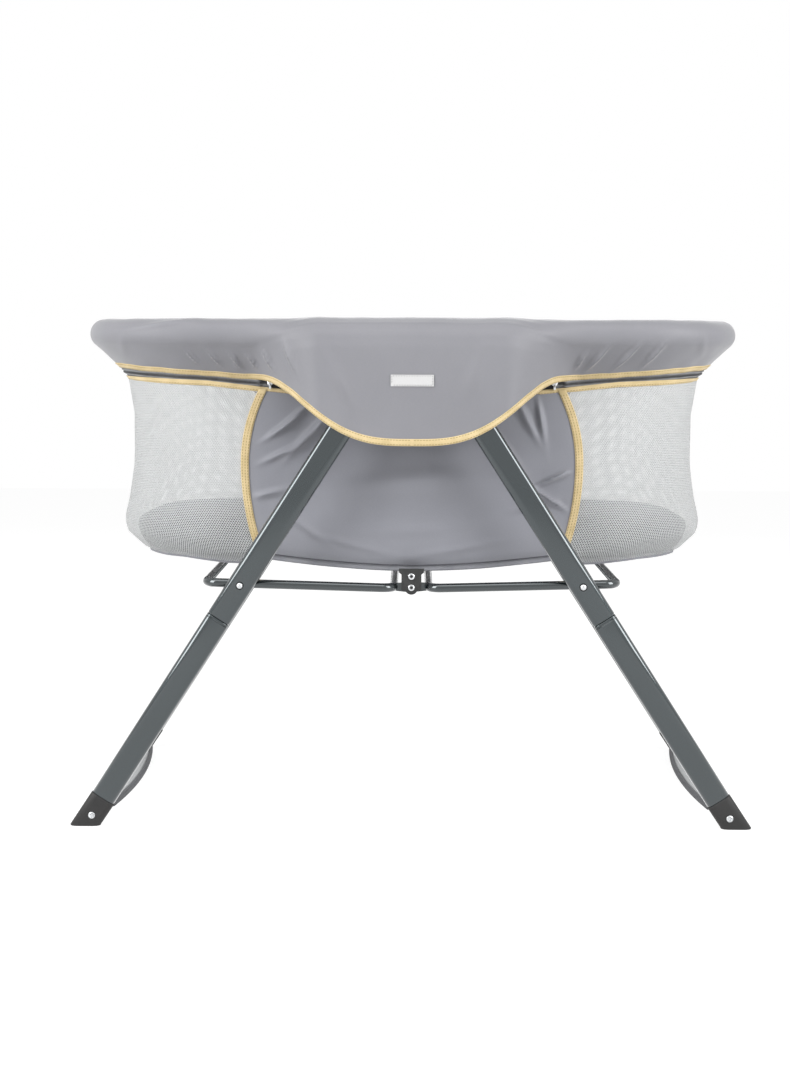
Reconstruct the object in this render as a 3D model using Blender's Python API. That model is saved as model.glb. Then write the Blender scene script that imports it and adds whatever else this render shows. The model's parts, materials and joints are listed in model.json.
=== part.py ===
"""Bassinet on a folding stand: padded rail, mesh tub, A-frame legs, folding base and stowable rockers.

Metres, +Z up. X runs along the bassinet, Y from front (-) to back (+), and the origin is on the floor
under the centre. It stands at rest ready for use: legs spread, base pressed flat, rockers stowed.
"""

import math

import bmesh
import bpy
from mathutils import Vector

# Driving dimensions.
GAP = 0.0003                       # between touching neighbours
LEG_PIVOT = (0.030, 0.627)         # x and z of a leg's pivot on the hub
FOOT_BOLT = (0.423, 0.015)         # x and z of the bolt through a foot
LEG_Y = 0.250                      # distance of the leg plane from the middle
LEG_SECTION = (0.033, 0.018, 0.0080)  # width, thickness and edge radius of the leg tube
LEG_WALL = 0.0012
LEG_TOP = 0.0185                   # how far a leg runs past its pivot
LEG_SEAM = 0.4140                  # distance from pivot to the joint between upper and lower leg
SPIGOT = 0.040
FOOT_TOP = 0.7010                  # distance from pivot to the top of the foot
FOOT_SECTION = (0.0345, 0.0195, 0.008)
BASE_RIVET_X = 0.2255              # where a base loop is riveted to a leg
HINGE_Z = 0.3165                   # the base hinge at rest, just below the line of its rivets
LOOP_Y = 0.232                     # side runs of a base loop
LOOP_INNER = 0.0235                # from hinge to inner run
LOOP_OUTER = 0.2725                # from hinge to outer run
LOOP_CORNER = 0.0180
LOOP_RADIUS = 0.0060
BRACKET_Y = (0.2190, 0.2220)
LUG_Y = {-1: (0.2155, 0.2187), 1: (0.2119, 0.2151)}
RAIL_Z = 0.652
RAIL_X, RAIL_Y, RAIL_CORNER = 0.4235, 0.207, 0.115
RAIL_PIVOT_X = 0.045
RAIL_TUBE = 0.010
FOAM_RADIUS = 0.018
COVER_RADIUS, CLOTH = 0.0194, 0.0018
COVER_START = 0.066                # covers begin here, beside the hub
HUB_Y = (0.2285, 0.2395)
FLAP_Y = 0.2645
FLAP_HALF = 0.178
FLAP_LOW, FLAP_HIGH = 0.508, 0.597   # hem height in the middle and at the sides
PANEL_HALF = 0.212
TUB_TOP, TUB_WAIST, TUB_FLOOR = 0.589, 0.500, 0.345
TUB_OUTLINES = (                   # height, half length, half width, corner radius
    (TUB_FLOOR, 0.4000, 0.199, 0.165),
    (0.410, 0.4000, 0.195, 0.145),
    (TUB_WAIST, 0.3880, 0.190, 0.120),
    (TUB_TOP, 0.3905, 0.182, 0.085),
)
MATTRESS = (0.3475, 0.3945, 0.392, 0.190, 0.158)  # bottom, top, half length, half width, corner
ROCKER_SAG = 0.0200
ROCKER_WIDTH, ROCKER_HEIGHT = 0.018, 0.009
ROCKER_EYE_Y = 0.2347
TREAD = 0.004
ZIP_X = 0.190

LEG_LENGTH = math.dist(LEG_PIVOT, FOOT_BOLT)
DOWN = ((FOOT_BOLT[0] - LEG_PIVOT[0]) / LEG_LENGTH, (FOOT_BOLT[1] - LEG_PIVOT[1]) / LEG_LENGTH)
OUT = (-DOWN[1], DOWN[0])          # across a leg, away from the middle
RIVET_S = (BASE_RIVET_X - LEG_PIVOT[0]) / DOWN[0]
RIVET_Z = LEG_PIVOT[1] + RIVET_S * DOWN[1]
LOOP_TILT = math.atan2(RIVET_Z - HINGE_Z, BASE_RIVET_X)

MATERIALS = {                      # colour, roughness, metallic
    "grey_fabric": ((0.36, 0.36, 0.38), 0.85, 0.0),
    "grey_panel": ((0.29, 0.30, 0.33), 0.85, 0.0),
    "mesh_fabric": ((0.66, 0.68, 0.69), 0.90, 0.0),
    "mattress_fabric": ((0.45, 0.45, 0.46), 0.90, 0.0),
    "foam": ((0.60, 0.60, 0.58), 0.95, 0.0),
    "leg_paint": ((0.11, 0.13, 0.14), 0.30, 0.6),
    "rail_steel": ((0.45, 0.45, 0.46), 0.40, 1.0),
    "black_plastic": ((0.05, 0.05, 0.05), 0.55, 0.0),
    "foot_plastic": ((0.07, 0.07, 0.07), 0.60, 0.0),
    "rocker_plastic": ((0.30, 0.31, 0.32), 0.50, 0.0),
    "tread_rubber": ((0.12, 0.12, 0.13), 0.85, 0.0),
    "zinc": ((0.70, 0.70, 0.70), 0.30, 1.0),
}


def clear_scene():
    for obj in list(bpy.data.objects):
        bpy.data.objects.remove(obj)


def material(name):
    """The named material, made on first use."""
    found = bpy.data.materials.get(name)
    if found:
        return found
    colour, roughness, metallic = MATERIALS[name]
    made = bpy.data.materials.new(name)
    made.use_nodes = True
    shader = made.node_tree.nodes["Principled BSDF"]
    shader.inputs["Base Color"].default_value = (*colour, 1.0)
    shader.inputs["Roughness"].default_value = roughness
    shader.inputs["Metallic"].default_value = metallic
    made.diffuse_color = (*colour, 1.0)
    return made


def empty(name, place):
    axis = bpy.data.objects.new(name, None)
    axis.location = place
    bpy.context.scene.collection.objects.link(axis)
    bpy.context.view_layer.update()
    return axis


def make(name, rings, slot, parent=None, loop=False):
    """A closed solid through equal rings of points: its ends are capped, or joined if loop is set."""
    count = len(rings[0])
    shape = bmesh.new()
    rows = [[shape.verts.new(p) for p in ring] for ring in rings]
    pairs = list(zip(rows, rows[1:])) + ([(rows[-1], rows[0])] if loop else [])
    for one, two in pairs:
        for i in range(count):
            j = (i + 1) % count
            shape.faces.new((one[i], one[j], two[j], two[i]))
    if not loop:
        shape.faces.new(rows[0])
        shape.faces.new(rows[-1])
    bmesh.ops.recalc_face_normals(shape, faces=shape.faces)
    mesh = bpy.data.meshes.new(name)
    shape.to_mesh(mesh)
    shape.free()
    mesh.materials.append(material(slot))
    mesh.shade_smooth()
    mesh.set_sharp_from_angle(angle=math.radians(35))
    obj = bpy.data.objects.new(name, mesh)
    bpy.context.scene.collection.objects.link(obj)
    if parent:
        obj.parent = parent
        obj.matrix_parent_inverse = parent.matrix_world.inverted()
    return obj


def helper(obj):
    """Marks a cutter, or a piece that is only joined into another, and keeps it out of the result."""
    obj.hide_render = True
    obj.display_type = "WIRE"
    return obj


def boolean(obj, operation, other):
    step = obj.modifiers.new(operation.lower(), "BOOLEAN")
    step.operation = operation
    step.solver = "EXACT"
    step.object = other


def arc(centre, radius, start, end, steps):
    """Points on an arc, in degrees, both ends included."""
    angles = [math.radians(start + (end - start) * i / steps) for i in range(steps + 1)]
    return [(centre[0] + radius * math.cos(a), centre[1] + radius * math.sin(a)) for a in angles]


def rounded(width, height, radius, steps=3):
    """A closed rectangle with round corners, centred on 0."""
    points = []
    for i, (sx, sy) in enumerate(((1, 1), (-1, 1), (-1, -1), (1, -1))):
        centre = (sx * (width / 2 - radius), sy * (height / 2 - radius))
        points += arc(centre, radius, 90 * i, 90 * i + 90, steps)
    return points


def disc(radius, sides=12):
    return arc((0, 0), radius, 0, 360 - 360 / sides, sides - 1)


def turned(name, x, z, stations, slot, parent=None, sides=12):
    """A round piece about an axis along Y: stations are (y, radius)."""
    rings = [[(x + a, y, z + b) for a, b in disc(radius, sides)] for y, radius in stations]
    return make(name, rings, slot, parent)


def cutter(name, x, z, low, high, radius, parent=None):
    return helper(turned(name, x, z, ((low, radius), (high, radius)), "zinc", parent))


def offset(line, distance):
    """The open line moved sideways by distance, mitred at its corners."""
    moved = []
    for i, (a, b) in enumerate(line):
        before, after = line[max(i - 1, 0)], line[min(i + 1, len(line) - 1)]
        along = Vector((after[0] - before[0], after[1] - before[1])).normalized()
        moved.append((a - along.y * distance, b + along.x * distance))
    return moved


def strip(line, thickness):
    """A closed outline of the given thickness around an open line."""
    return offset(line, thickness / 2) + offset(line, -thickness / 2)[::-1]


def outline(half_x, half_y, corner, side, start, steps=6):
    """Half of a rounded rectangle in plan: ((x, y), outward normal), from front start round to back start."""
    route = [((start, -half_y), (0, -1))]
    for way, first in ((-1, 270), (1, 0)):
        centre = (half_x - corner, way * (half_y - corner))
        for i in range(steps + 1):
            angle = math.radians(first + 90 * i / steps)
            normal = (math.cos(angle), math.sin(angle))
            place = (centre[0] + corner * normal[0], centre[1] + corner * normal[1])
            route.append((place, normal))
    route.append(((start, half_y), (0, 1)))
    return [((side * p[0], p[1]), (side * n[0], n[1])) for p, n in route]


def rail_sweep(section, side, start):
    """Rings of (outward, up) section points along half of the rail."""
    rings = []
    for place, normal in outline(RAIL_X, RAIL_Y, RAIL_CORNER, side, start):
        ring = [(place[0] + a * normal[0], place[1] + a * normal[1], RAIL_Z + b) for a, b in section]
        rings.append(ring)
    return rings


def side_name(side):
    return "left" if side < 0 else "right"


def row_name(row):
    return "front" if row < 0 else "back"


def build_hub(row):
    """The moulded hub that carries two leg pivots and two rail pivots."""
    name = f"{row_name(row)}_hub"
    low, high = (row * y for y in HUB_Y)
    plate = rounded(0.130, 0.061, 0.014)
    rings = [[(a, y, 0.6375 + b) for a, b in plate] for y in (low, high)]
    hub = make(name, rings, "black_plastic")
    inner = rounded(0.044, 0.034, 0.004, 1)
    ends = (row * 0.1925, row * (HUB_Y[0] + 0.004))
    boss = [[(a, y, 0.651 + b) for a, b in inner] for y in ends]
    boolean(hub, "UNION", helper(make(f"{name}_boss", boss, "black_plastic")))
    for side in (-1, 1):
        ends = (row * 0.220, row * 0.248)
        leg = cutter(f"{name}_leg_hole", side * LEG_PIVOT[0], LEG_PIVOT[1], *ends, 0.0043)
        rail = cutter(f"{name}_rail_hole", side * RAIL_PIVOT_X, RAIL_Z, *ends, 0.0033)
        boolean(hub, "DIFFERENCE", leg)
        boolean(hub, "DIFFERENCE", rail)


def build_hub_fasteners(row, side):
    corner = f"{row_name(row)}_{side_name(side)}"
    stations = [(row * y, r) for y, r in (
        (0.2290, 0.0040), (0.2593, 0.0040), (0.2593 + GAP, 0.0085), (0.2612, 0.0085), (0.2624, 0.0060))]
    turned(f"{corner}_leg_pivot_bolt", side * LEG_PIVOT[0], LEG_PIVOT[1], stations, "zinc")
    stations = [(row * y, r) for y, r in (
        (0.1940, 0.0050), (0.1964, 0.0050), (0.1965, 0.0030), (0.2393, 0.0030))]
    turned(f"{corner}_rail_pin", side * RAIL_PIVOT_X, RAIL_Z, stations, "zinc")


def leg_ring(side, row, s, section, floor=False):
    """A ring across a leg at distance s from its pivot, or where the leg meets the floor."""
    ring = []
    for a, b in section:
        distance = (LEG_PIVOT[1] + a * OUT[1]) / -DOWN[1] if floor else s
        x = LEG_PIVOT[0] + distance * DOWN[0] + a * OUT[0]
        z = LEG_PIVOT[1] + distance * DOWN[1] + a * OUT[1]
        ring.append((side * x, row * LEG_Y + b, 0.0 if floor else z))
    return ring


def shrunk(by, section=LEG_SECTION):
    width, thickness, radius = section
    return rounded(width - 2 * by, thickness - 2 * by, max(radius - by, 0.002))


def build_upper_leg(row, side, axis):
    name = f"{row_name(row)}_{side_name(side)}_upper_leg"
    outer, bore = shrunk(0), shrunk(LEG_WALL)
    route = ((-LEG_TOP, outer), (LEG_SEAM, outer), (LEG_SEAM, bore), (-LEG_TOP, bore))
    leg = make(name, [leg_ring(side, row, s, section) for s, section in route], "leg_paint", axis, True)
    ends = (row * 0.236, row * 0.264)
    pivot = cutter(f"{name}_pivot_hole", side * LEG_PIVOT[0], LEG_PIVOT[1], *ends, 0.0043)
    rivet = cutter(f"{name}_rivet_hole", side * BASE_RIVET_X, RIVET_Z, *ends, 0.0033)
    boolean(leg, "DIFFERENCE", pivot)
    boolean(leg, "DIFFERENCE", rivet)


def build_lower_leg(row, side, axis):
    name = f"{row_name(row)}_{side_name(side)}_lower_leg"
    outer, neck = shrunk(0), shrunk(LEG_WALL + GAP)
    bore = shrunk(2 * LEG_WALL + GAP)
    top, seam, end = LEG_SEAM - SPIGOT, LEG_SEAM + GAP, FOOT_TOP - GAP
    route = ((top, neck), (seam, neck), (seam, outer), (end, outer), (end, bore), (top, bore))
    make(name, [leg_ring(side, row, s, section) for s, section in route], "leg_paint", axis, True)


def build_foot(row, side, axis):
    name = f"{row_name(row)}_{side_name(side)}_foot"
    plug = shrunk(2 * LEG_WALL + 2 * GAP)
    body = shrunk(0, FOOT_SECTION)
    rings = [leg_ring(side, row, FOOT_TOP - 0.030, plug), leg_ring(side, row, FOOT_TOP, plug)]
    rings += [leg_ring(side, row, FOOT_TOP, body), leg_ring(side, row, 0, body, floor=True)]
    foot = make(name, rings, "foot_plastic", axis)
    hole = cutter(f"{name}_hole", side * FOOT_BOLT[0], FOOT_BOLT[1], row * 0.235, row * 0.265, 0.0034)
    boolean(foot, "DIFFERENCE", hole)


def build_leg_fasteners(row, side, axis):
    corner = f"{row_name(row)}_{side_name(side)}"
    stations = [(row * y, r) for y, r in (
        (0.2405, 0.0030), (0.2592, 0.0030), (0.2593, 0.0053), (0.2602, 0.0053),
        (0.2603, 0.0040), (0.2615, 0.0032), (0.2620, 0.0014))]
    turned(f"{corner}_base_rivet", side * BASE_RIVET_X, RIVET_Z, stations, "zinc", axis)
    stations = [(row * y, r) for y, r in (
        (0.2290, 0.0030), (0.2600, 0.0030), (0.2601, 0.0056), (0.2612, 0.0056), (0.2622, 0.0036))]
    turned(f"{corner}_foot_bolt", side * FOOT_BOLT[0], FOOT_BOLT[1], stations, "zinc", axis)


def loop_point(side, u, y, lift=0.0):
    """A point of a base loop: u along it from the hinge, lift across it."""
    x = u * math.cos(LOOP_TILT) - lift * math.sin(LOOP_TILT)
    z = u * math.sin(LOOP_TILT) + lift * math.cos(LOOP_TILT)
    return (side * x, y, HINGE_Z + z)


def build_base_loop(side, axis):
    """A bent round bar, with a lug at front and back that turns on the hinge rivet."""
    name = f"{side_name(side)}_base_loop"
    middle = (LOOP_OUTER + LOOP_INNER) / 2
    route = []
    for i, (sx, sy) in enumerate(((1, 1), (-1, 1), (-1, -1), (1, -1))):
        half = (LOOP_OUTER - LOOP_INNER) / 2
        centre = (sx * (half - LOOP_CORNER), sy * (LOOP_Y - LOOP_CORNER))
        for step in range(6):
            angle = math.radians(90 * i + 18 * step)
            normal = (math.cos(angle), math.sin(angle))
            route.append((centre[0] + LOOP_CORNER * normal[0], centre[1] + LOOP_CORNER * normal[1], normal))
    rings = []
    for u, y, normal in route:
        rings.append([loop_point(side, middle + u + a * normal[0], y + a * normal[1], b)
                      for a, b in disc(LOOP_RADIUS, 10)])
    loop = make(name, rings, "leg_paint", axis, True)
    for row in (-1, 1):
        tab = [(LOOP_INNER + 0.003, -0.005)] + [(LOOP_INNER + 0.003, 0.005)]
        tab += arc((0, 0), 0.0072, 70, 290, 8)
        ends = [row * y for y in LUG_Y[side]]
        lug = make(f"{name}_lug", [[loop_point(side, a, y, b) for a, b in tab] for y in ends], "leg_paint")
        boolean(loop, "UNION", helper(lug))
    for row in (-1, 1):
        hole = cutter(f"{name}_hole", 0, HINGE_Z, row * 0.2105, row * 0.2200, 0.0031)
        boolean(loop, "DIFFERENCE", hole)


def build_bracket(row, axis):
    """The hinge bracket: a plate that is wider at the top, with a round lobe at the hinge."""
    name = f"{row_name(row)}_hinge_bracket"
    half, wing, step = 0.0133, 0.0168, 0.0195
    lobe = arc((0, -0.0008), 0.0086, 180, 360, 8)
    shape = [(-wing, 0.0255), (-wing, step), (-half, step), (-half, -0.0045), (-0.0088, -0.0045)]
    shape += lobe + [(0.0088, -0.0045), (half, -0.0045), (half, step), (wing, step), (wing, 0.0255)]
    rings = [[(a, row * y, HINGE_Z + b) for a, b in shape] for y in BRACKET_Y]
    plate = make(name, rings, "black_plastic", axis)
    for lift in (0.0, 0.0150):
        hole = cutter(f"{name}_hole", 0, HINGE_Z + lift, row * 0.2170, row * 0.2240, 0.0031)
        boolean(plate, "DIFFERENCE", hole)
    for word, lift, end in (("hinge_rivet", 0.0, 0.2112), ("bracket_rivet", 0.0150, 0.2192)):
        stations = [(row * y, r) for y, r in (
            (end, 0.0028), (0.2222, 0.0028), (0.2223, 0.0046), (0.2230, 0.0046), (0.2236, 0.0034))]
        turned(f"{row_name(row)}_{word}", 0, HINGE_Z + lift, stations, "zinc", axis)


def build_spine(axis):
    """A flat bar that ties the front bracket to the back one."""
    bar = rounded(0.020, 0.0045, 0.001, 1)
    reach = BRACKET_Y[0] - GAP
    rings = [[(a, y, HINGE_Z + 0.0165 + b) for a, b in bar] for y in (-reach, reach)]
    make("base_spine", rings, "black_plastic", axis)


def build_rail(side, axis):
    """Half of the top rail: the tube, its foam sleeve and the cloth cover with its zipped skirt."""
    name = side_name(side)
    outer, bore = disc(RAIL_TUBE, 12), disc(RAIL_TUBE - LEG_WALL, 12)
    start = RAIL_PIVOT_X - 0.010
    shell = rail_sweep(outer, side, start) + rail_sweep(bore, side, start)[::-1]
    tube = make(f"{name}_rail_tube", shell, "rail_steel", axis, True)
    for row in (-1, 1):
        ends = (row * 0.190, row * 0.224)
        hole = cutter(f"{name}_rail_hole", side * RAIL_PIVOT_X, RAIL_Z, *ends, 0.0033)
        boolean(tube, "DIFFERENCE", hole)
    outer, bore = disc(FOAM_RADIUS, 12), disc(RAIL_TUBE + GAP, 12)
    shell = rail_sweep(outer, side, COVER_START) + rail_sweep(bore, side, COVER_START)[::-1]
    make(f"{name}_rail_foam", shell, "foam", axis, True)
    line = [(-0.0220, -0.0570), (-0.0060, -0.0370), (0.0100, -0.0200)]
    line += arc((0, 0), COVER_RADIUS, -38, 228, 11)
    cover = rail_sweep(strip(line, CLOTH), side, COVER_START)
    make(f"{name}_rail_cover", cover, "grey_fabric", axis)


def hem_height(x):
    """The flap's hem: low in the middle, rising in a bell curve to the sides."""
    share = min(abs(x) / FLAP_HALF, 1.0) ** 1.7
    return FLAP_LOW + (FLAP_HIGH - FLAP_LOW) * (1 - math.cos(math.pi * share)) / 2


def build_flap(row):
    """The cloth flap that hangs over the hub and the tops of the legs."""
    rings = []
    steps = 16
    for i in range(steps + 1):
        x = FLAP_HALF * (2 * i / steps - 1)
        line = [(FLAP_Y, hem_height(x)), (FLAP_Y, 0.6400), (0.2560, 0.6640), (0.2380, 0.6745), (0.2110, 0.6762)]
        rings.append([(x, row * y, z) for y, z in strip(line, CLOTH)])
    make(f"{row_name(row)}_flap", rings, "grey_fabric")


def wall_rings(places):
    """Rings up a wall at each place: one plan point and normal per height in TUB_OUTLINES."""
    rings = []
    for levels in places:
        outer = [(p[0], p[1], z) for z, p, n in levels]
        inner = [(p[0] - CLOTH * n[0], p[1] - CLOTH * n[1], z) for z, p, n in levels]
        rings.append(outer + inner[::-1])
    return rings


def build_tub():
    """The tub: a cloth panel at front and back, a mesh end at each side, and a cloth floor."""
    for side in (-1, 1):
        plans = [outline(x, y, corner, side, PANEL_HALF + GAP) for z, x, y, corner in TUB_OUTLINES]
        heights = [level[0] for level in TUB_OUTLINES]
        places = [[(z, *plan[i]) for z, plan in zip(heights, plans)] for i in range(len(plans[0]))]
        make(f"{side_name(side)}_mesh_end", wall_rings(places), "mesh_fabric")
    for row in (-1, 1):
        places = [[(z, (x, row * y), (0, row)) for z, _, y, _ in TUB_OUTLINES]
                  for x in (-PANEL_HALF, -PANEL_HALF / 3, PANEL_HALF / 3, PANEL_HALF)]
        make(f"{row_name(row)}_panel", wall_rings(places), "grey_panel")
    _, x, y, corner = TUB_OUTLINES[0]
    inset = CLOTH + 2 * GAP
    half = [p for p, _ in outline(x - inset, y - inset, corner - inset, 1, 0.0)]
    plan = half + [(-a, b) for a, b in half[-2:0:-1]]
    rings = [[(a, b, z) for a, b in plan] for z in (TUB_FLOOR, TUB_FLOOR + CLOTH)]
    make("tub_floor", rings, "grey_panel")


def build_mattress(side, axis):
    """Half of the folding mattress, with its edges eased."""
    low, high, x, y, corner = MATTRESS
    edge = 0.006
    rings = []
    for z, inset in ((low, edge), (low + edge, 0), (high - edge, 0), (high, edge)):
        plan = outline(x - inset, y - inset, corner - inset, side, 0.001)
        rings.append([(p[0], p[1], z) for p, _ in plan])
    make(f"{side_name(side)}_mattress", rings, "mattress_fabric", axis)


def rocker_arc(reach, offset_in, height, thickness, side, steps=12):
    """Rings along the rocker's arc between y -reach and +reach, offset_in from its centre line."""
    radius = (ROCKER_EYE_Y ** 2 + ROCKER_SAG ** 2) / (2 * ROCKER_SAG)
    sweep = math.asin(reach / radius)
    rings = []
    for i in range(steps + 1):
        angle = sweep * (2 * i / steps - 1)
        rings.append([])
        for a, b in rounded(thickness, height, 0.0015, 1):
            distance = radius + offset_in + a
            inward = distance * math.cos(angle) - (radius - ROCKER_SAG)
            rings[-1].append((side * (FOOT_BOLT[0] - inward), distance * math.sin(angle), FOOT_BOLT[1] + b))
    return rings


def build_rocker(side, axis):
    """A curved bar between front and back foot, with an eye at each end and a rubber tread."""
    name = side_name(side)
    arcs = rocker_arc(ROCKER_EYE_Y - 0.002, 0.0, ROCKER_HEIGHT, ROCKER_WIDTH, side)
    bar = make(f"{name}_rocker_bar", arcs, "rocker_plastic", axis)
    for row in (-1, 1):
        ends = ((row * 0.2298, 0.0098), (row * 0.2394, 0.0098))
        eye = turned(f"{name}_rocker_eye", side * FOOT_BOLT[0], FOOT_BOLT[1], ends, "rocker_plastic")
        boolean(bar, "UNION", helper(eye))
    for row in (-1, 1):
        hole = cutter(f"{name}_eye_hole", side * FOOT_BOLT[0], FOOT_BOLT[1], row * 0.2250, row * 0.2420, 0.0034)
        boolean(bar, "DIFFERENCE", hole)
    inset = ROCKER_WIDTH / 2 + GAP + TREAD / 2
    make(f"{name}_rocker_tread", rocker_arc(0.190, inset, 0.0088, TREAD, side), "tread_rubber", axis)


def build_zip_slider(side):
    """A zip slider on the front skirt, with its pull hanging down."""
    name = f"{side_name(side)}_zip_slider"
    axis = empty(f"{side_name(side)}_zip_axis", (side * ZIP_X, -0.1954, 0.603))
    slope = Vector((0.16, 0.20)).normalized()
    block = [(-0.0055, -0.0035), (0.0055, -0.0035), (0.0055, 0.0035), (-0.0055, 0.0035)]
    rings = []
    for out in (-0.0018, 0.0018):
        rings.append([(side * ZIP_X + a, -(0.1958 + b * slope.x + out * slope.y), 0.6030 + b * slope.y - out * slope.x)
                      for a, b in block])
    slider = make(name, rings, "zinc", axis)
    tab = rounded(0.0050, 0.0180, 0.0020, 2)
    rings = [[(side * ZIP_X + a, y, 0.5935 + b) for a, b in tab] for y in (-0.1985, -0.1971)]
    boolean(slider, "UNION", helper(make(f"{name}_pull", rings, "zinc")))


def main():
    clear_scene()
    for row in (-1, 1):
        build_hub(row)
        build_flap(row)
        for side in (-1, 1):
            build_hub_fasteners(row, side)
    build_tub()
    for side in (-1, 1):
        name = side_name(side)
        leg_axis = empty(f"{name}_leg_axis", (side * LEG_PIVOT[0], 0, LEG_PIVOT[1]))
        rail_axis = empty(f"{name}_rail_axis", (side * RAIL_PIVOT_X, 0, RAIL_Z))
        base_axis = empty(f"{name}_base_axis", (0, 0, HINGE_Z))
        rocker_axis = empty(f"{name}_rocker_axis", (side * FOOT_BOLT[0], 0, FOOT_BOLT[1]))
        for row in (-1, 1):
            build_upper_leg(row, side, leg_axis)
            build_lower_leg(row, side, leg_axis)
            build_foot(row, side, leg_axis)
            build_leg_fasteners(row, side, leg_axis)
        build_rail(side, rail_axis)
        build_base_loop(side, base_axis)
        build_mattress(side, base_axis)
        build_rocker(side, rocker_axis)
        build_zip_slider(side)
    lift_axis = empty("base_lift_axis", (0, 0, HINGE_Z))
    for row in (-1, 1):
        build_bracket(row, lift_axis)
    build_spine(lift_axis)


main()
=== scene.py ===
# %% [markdown]
# # Bassinet on a folding stand
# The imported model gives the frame: bodies, joints and the place of every part. This script dresses it.
# It replaces the plain cloth solids with sewn covers, mesh, bindings, zip and mattress, and the plain
# metal and plastic parts with finely rounded ones, each with its own procedural material.

# %% Load the frame
import json
import math

import bmesh
import bpy
import numpy as np
from mathutils import Matrix, Vector, noise


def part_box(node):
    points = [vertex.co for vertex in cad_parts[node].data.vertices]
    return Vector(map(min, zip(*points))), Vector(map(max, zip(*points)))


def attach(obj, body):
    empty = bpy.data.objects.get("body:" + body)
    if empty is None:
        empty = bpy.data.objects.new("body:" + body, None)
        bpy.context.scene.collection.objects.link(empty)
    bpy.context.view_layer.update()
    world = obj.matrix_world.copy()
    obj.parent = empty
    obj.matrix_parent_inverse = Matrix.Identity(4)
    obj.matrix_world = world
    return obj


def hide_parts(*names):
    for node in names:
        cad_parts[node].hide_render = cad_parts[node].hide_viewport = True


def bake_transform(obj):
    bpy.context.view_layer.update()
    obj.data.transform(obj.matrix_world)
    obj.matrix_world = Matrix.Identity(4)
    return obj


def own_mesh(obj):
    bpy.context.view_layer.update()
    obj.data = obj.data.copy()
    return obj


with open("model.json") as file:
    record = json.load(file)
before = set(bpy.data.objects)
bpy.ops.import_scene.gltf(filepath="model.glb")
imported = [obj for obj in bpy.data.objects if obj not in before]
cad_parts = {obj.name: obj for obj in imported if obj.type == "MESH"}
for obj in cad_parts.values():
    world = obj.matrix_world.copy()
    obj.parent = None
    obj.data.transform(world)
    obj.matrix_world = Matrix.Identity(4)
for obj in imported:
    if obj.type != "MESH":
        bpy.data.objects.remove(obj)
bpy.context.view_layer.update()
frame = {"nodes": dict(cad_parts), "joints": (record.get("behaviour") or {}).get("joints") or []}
joints = {joint["name"]: joint for joint in frame["joints"]}
scene = bpy.context.scene

# %% [markdown]
# ## Sizes from the frame
# Every main size below comes from a CAD box or a joint, so the cloth follows the frame if it changes.
# One name per size keeps the later cells readable, and a size is then changed in one place.

# %% Sizes
MM = 0.001
tube_low, tube_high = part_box("right_rail_tube")
cover_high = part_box("right_rail_cover")[1]
flap_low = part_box("front_flap")[0]
mat_low, mat_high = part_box("right_mattress")
leg_low, leg_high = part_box("front_right_upper_leg")
TUBE_RADIUS = (tube_high.z - tube_low.z) / 2
RAIL_Z = tube_high.z - TUBE_RADIUS
RAIL_X, RAIL_Y = tube_high.x - TUBE_RADIUS, tube_high.y - TUBE_RADIUS
RAIL_CORNER = 0.115                                # radius of the rail's bends, in plan
ROLL = cover_high.y - RAIL_Y                       # radius of the padded roll
FLAP_Y = -flap_low.y - 1.0 * MM
FLAP_LOW = flap_low.z
FLAP_HALF = 0.203                                  # half the width of the flap at its hem
LEG_PIVOT = joints["right_leg_fold"]["pos_m"]
FOOT_BOLT = joints["right_rocker_swing"]["pos_m"]
HINGE_Z = joints["right_base_fold"]["pos_m"][2]
LEG_Y = (-leg_low.y - leg_high.y) / 2
LEG_DEPTH = leg_high.y - leg_low.y
LEG_LENGTH = math.hypot(FOOT_BOLT[0] - LEG_PIVOT[0], FOOT_BOLT[2] - LEG_PIVOT[2])
DOWN = ((FOOT_BOLT[0] - LEG_PIVOT[0]) / LEG_LENGTH, (FOOT_BOLT[2] - LEG_PIVOT[2]) / LEG_LENGTH)
OUT = (-DOWN[1], DOWN[0])
SIDES = (("left", -1), ("right", 1))
ROWS = (("front", -1), ("back", 1))
ZIP_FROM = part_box("right_zip_slider")[0].x + 5 * MM   # the zip is closed from here to the end
print("rail at", round(RAIL_X, 4), round(RAIL_Y, 4), round(RAIL_Z, 4), "legs", round(LEG_LENGTH, 4))


# %% [markdown]
# ## Tools for nodes
# Materials and geometry are built from nodes joined by links. One small function, `add`, places any node
# with its settings and its inputs, so a material below reads as a list of steps. Colours are written as
# hex codes, and `linear` turns them into the values that light works with.

# %% Tools for nodes
def linear(code):
    """A #rrggbb colour as linear RGBA."""
    parts = [int(code[i:i + 2], 16) / 255 for i in (1, 3, 5)]
    return (*[p / 12.92 if p <= 0.04045 else ((p + 0.055) / 1.055) ** 2.4 for p in parts], 1.0)


def connect(tree, node, links):
    """Gives a node its inputs, by name or number: each is a value or another node's output."""
    for key, value in links.items():
        socket = node.inputs[key]
        if isinstance(value, bpy.types.NodeSocket):
            tree.links.new(value, socket)
        else:
            socket.default_value = value


def add(tree, kind, links=None, **settings):
    """Adds a node with its settings and its inputs, and returns it."""
    node = tree.nodes.new(kind)
    for name, value in settings.items():
        setattr(node, name, value)
    connect(tree, node, links or {})
    return node


def two_shades(tree, value, start, low, end, high):
    """One colour up to the start value, another from the end value on, and a blend between them."""
    share = add(tree, "ShaderNodeMapRange", {0: value, 1: start, 2: end}).outputs[0]
    return add(tree, "ShaderNodeMix", {0: share, 6: linear(low), 7: linear(high)},
               data_type="RGBA").outputs[2]


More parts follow.
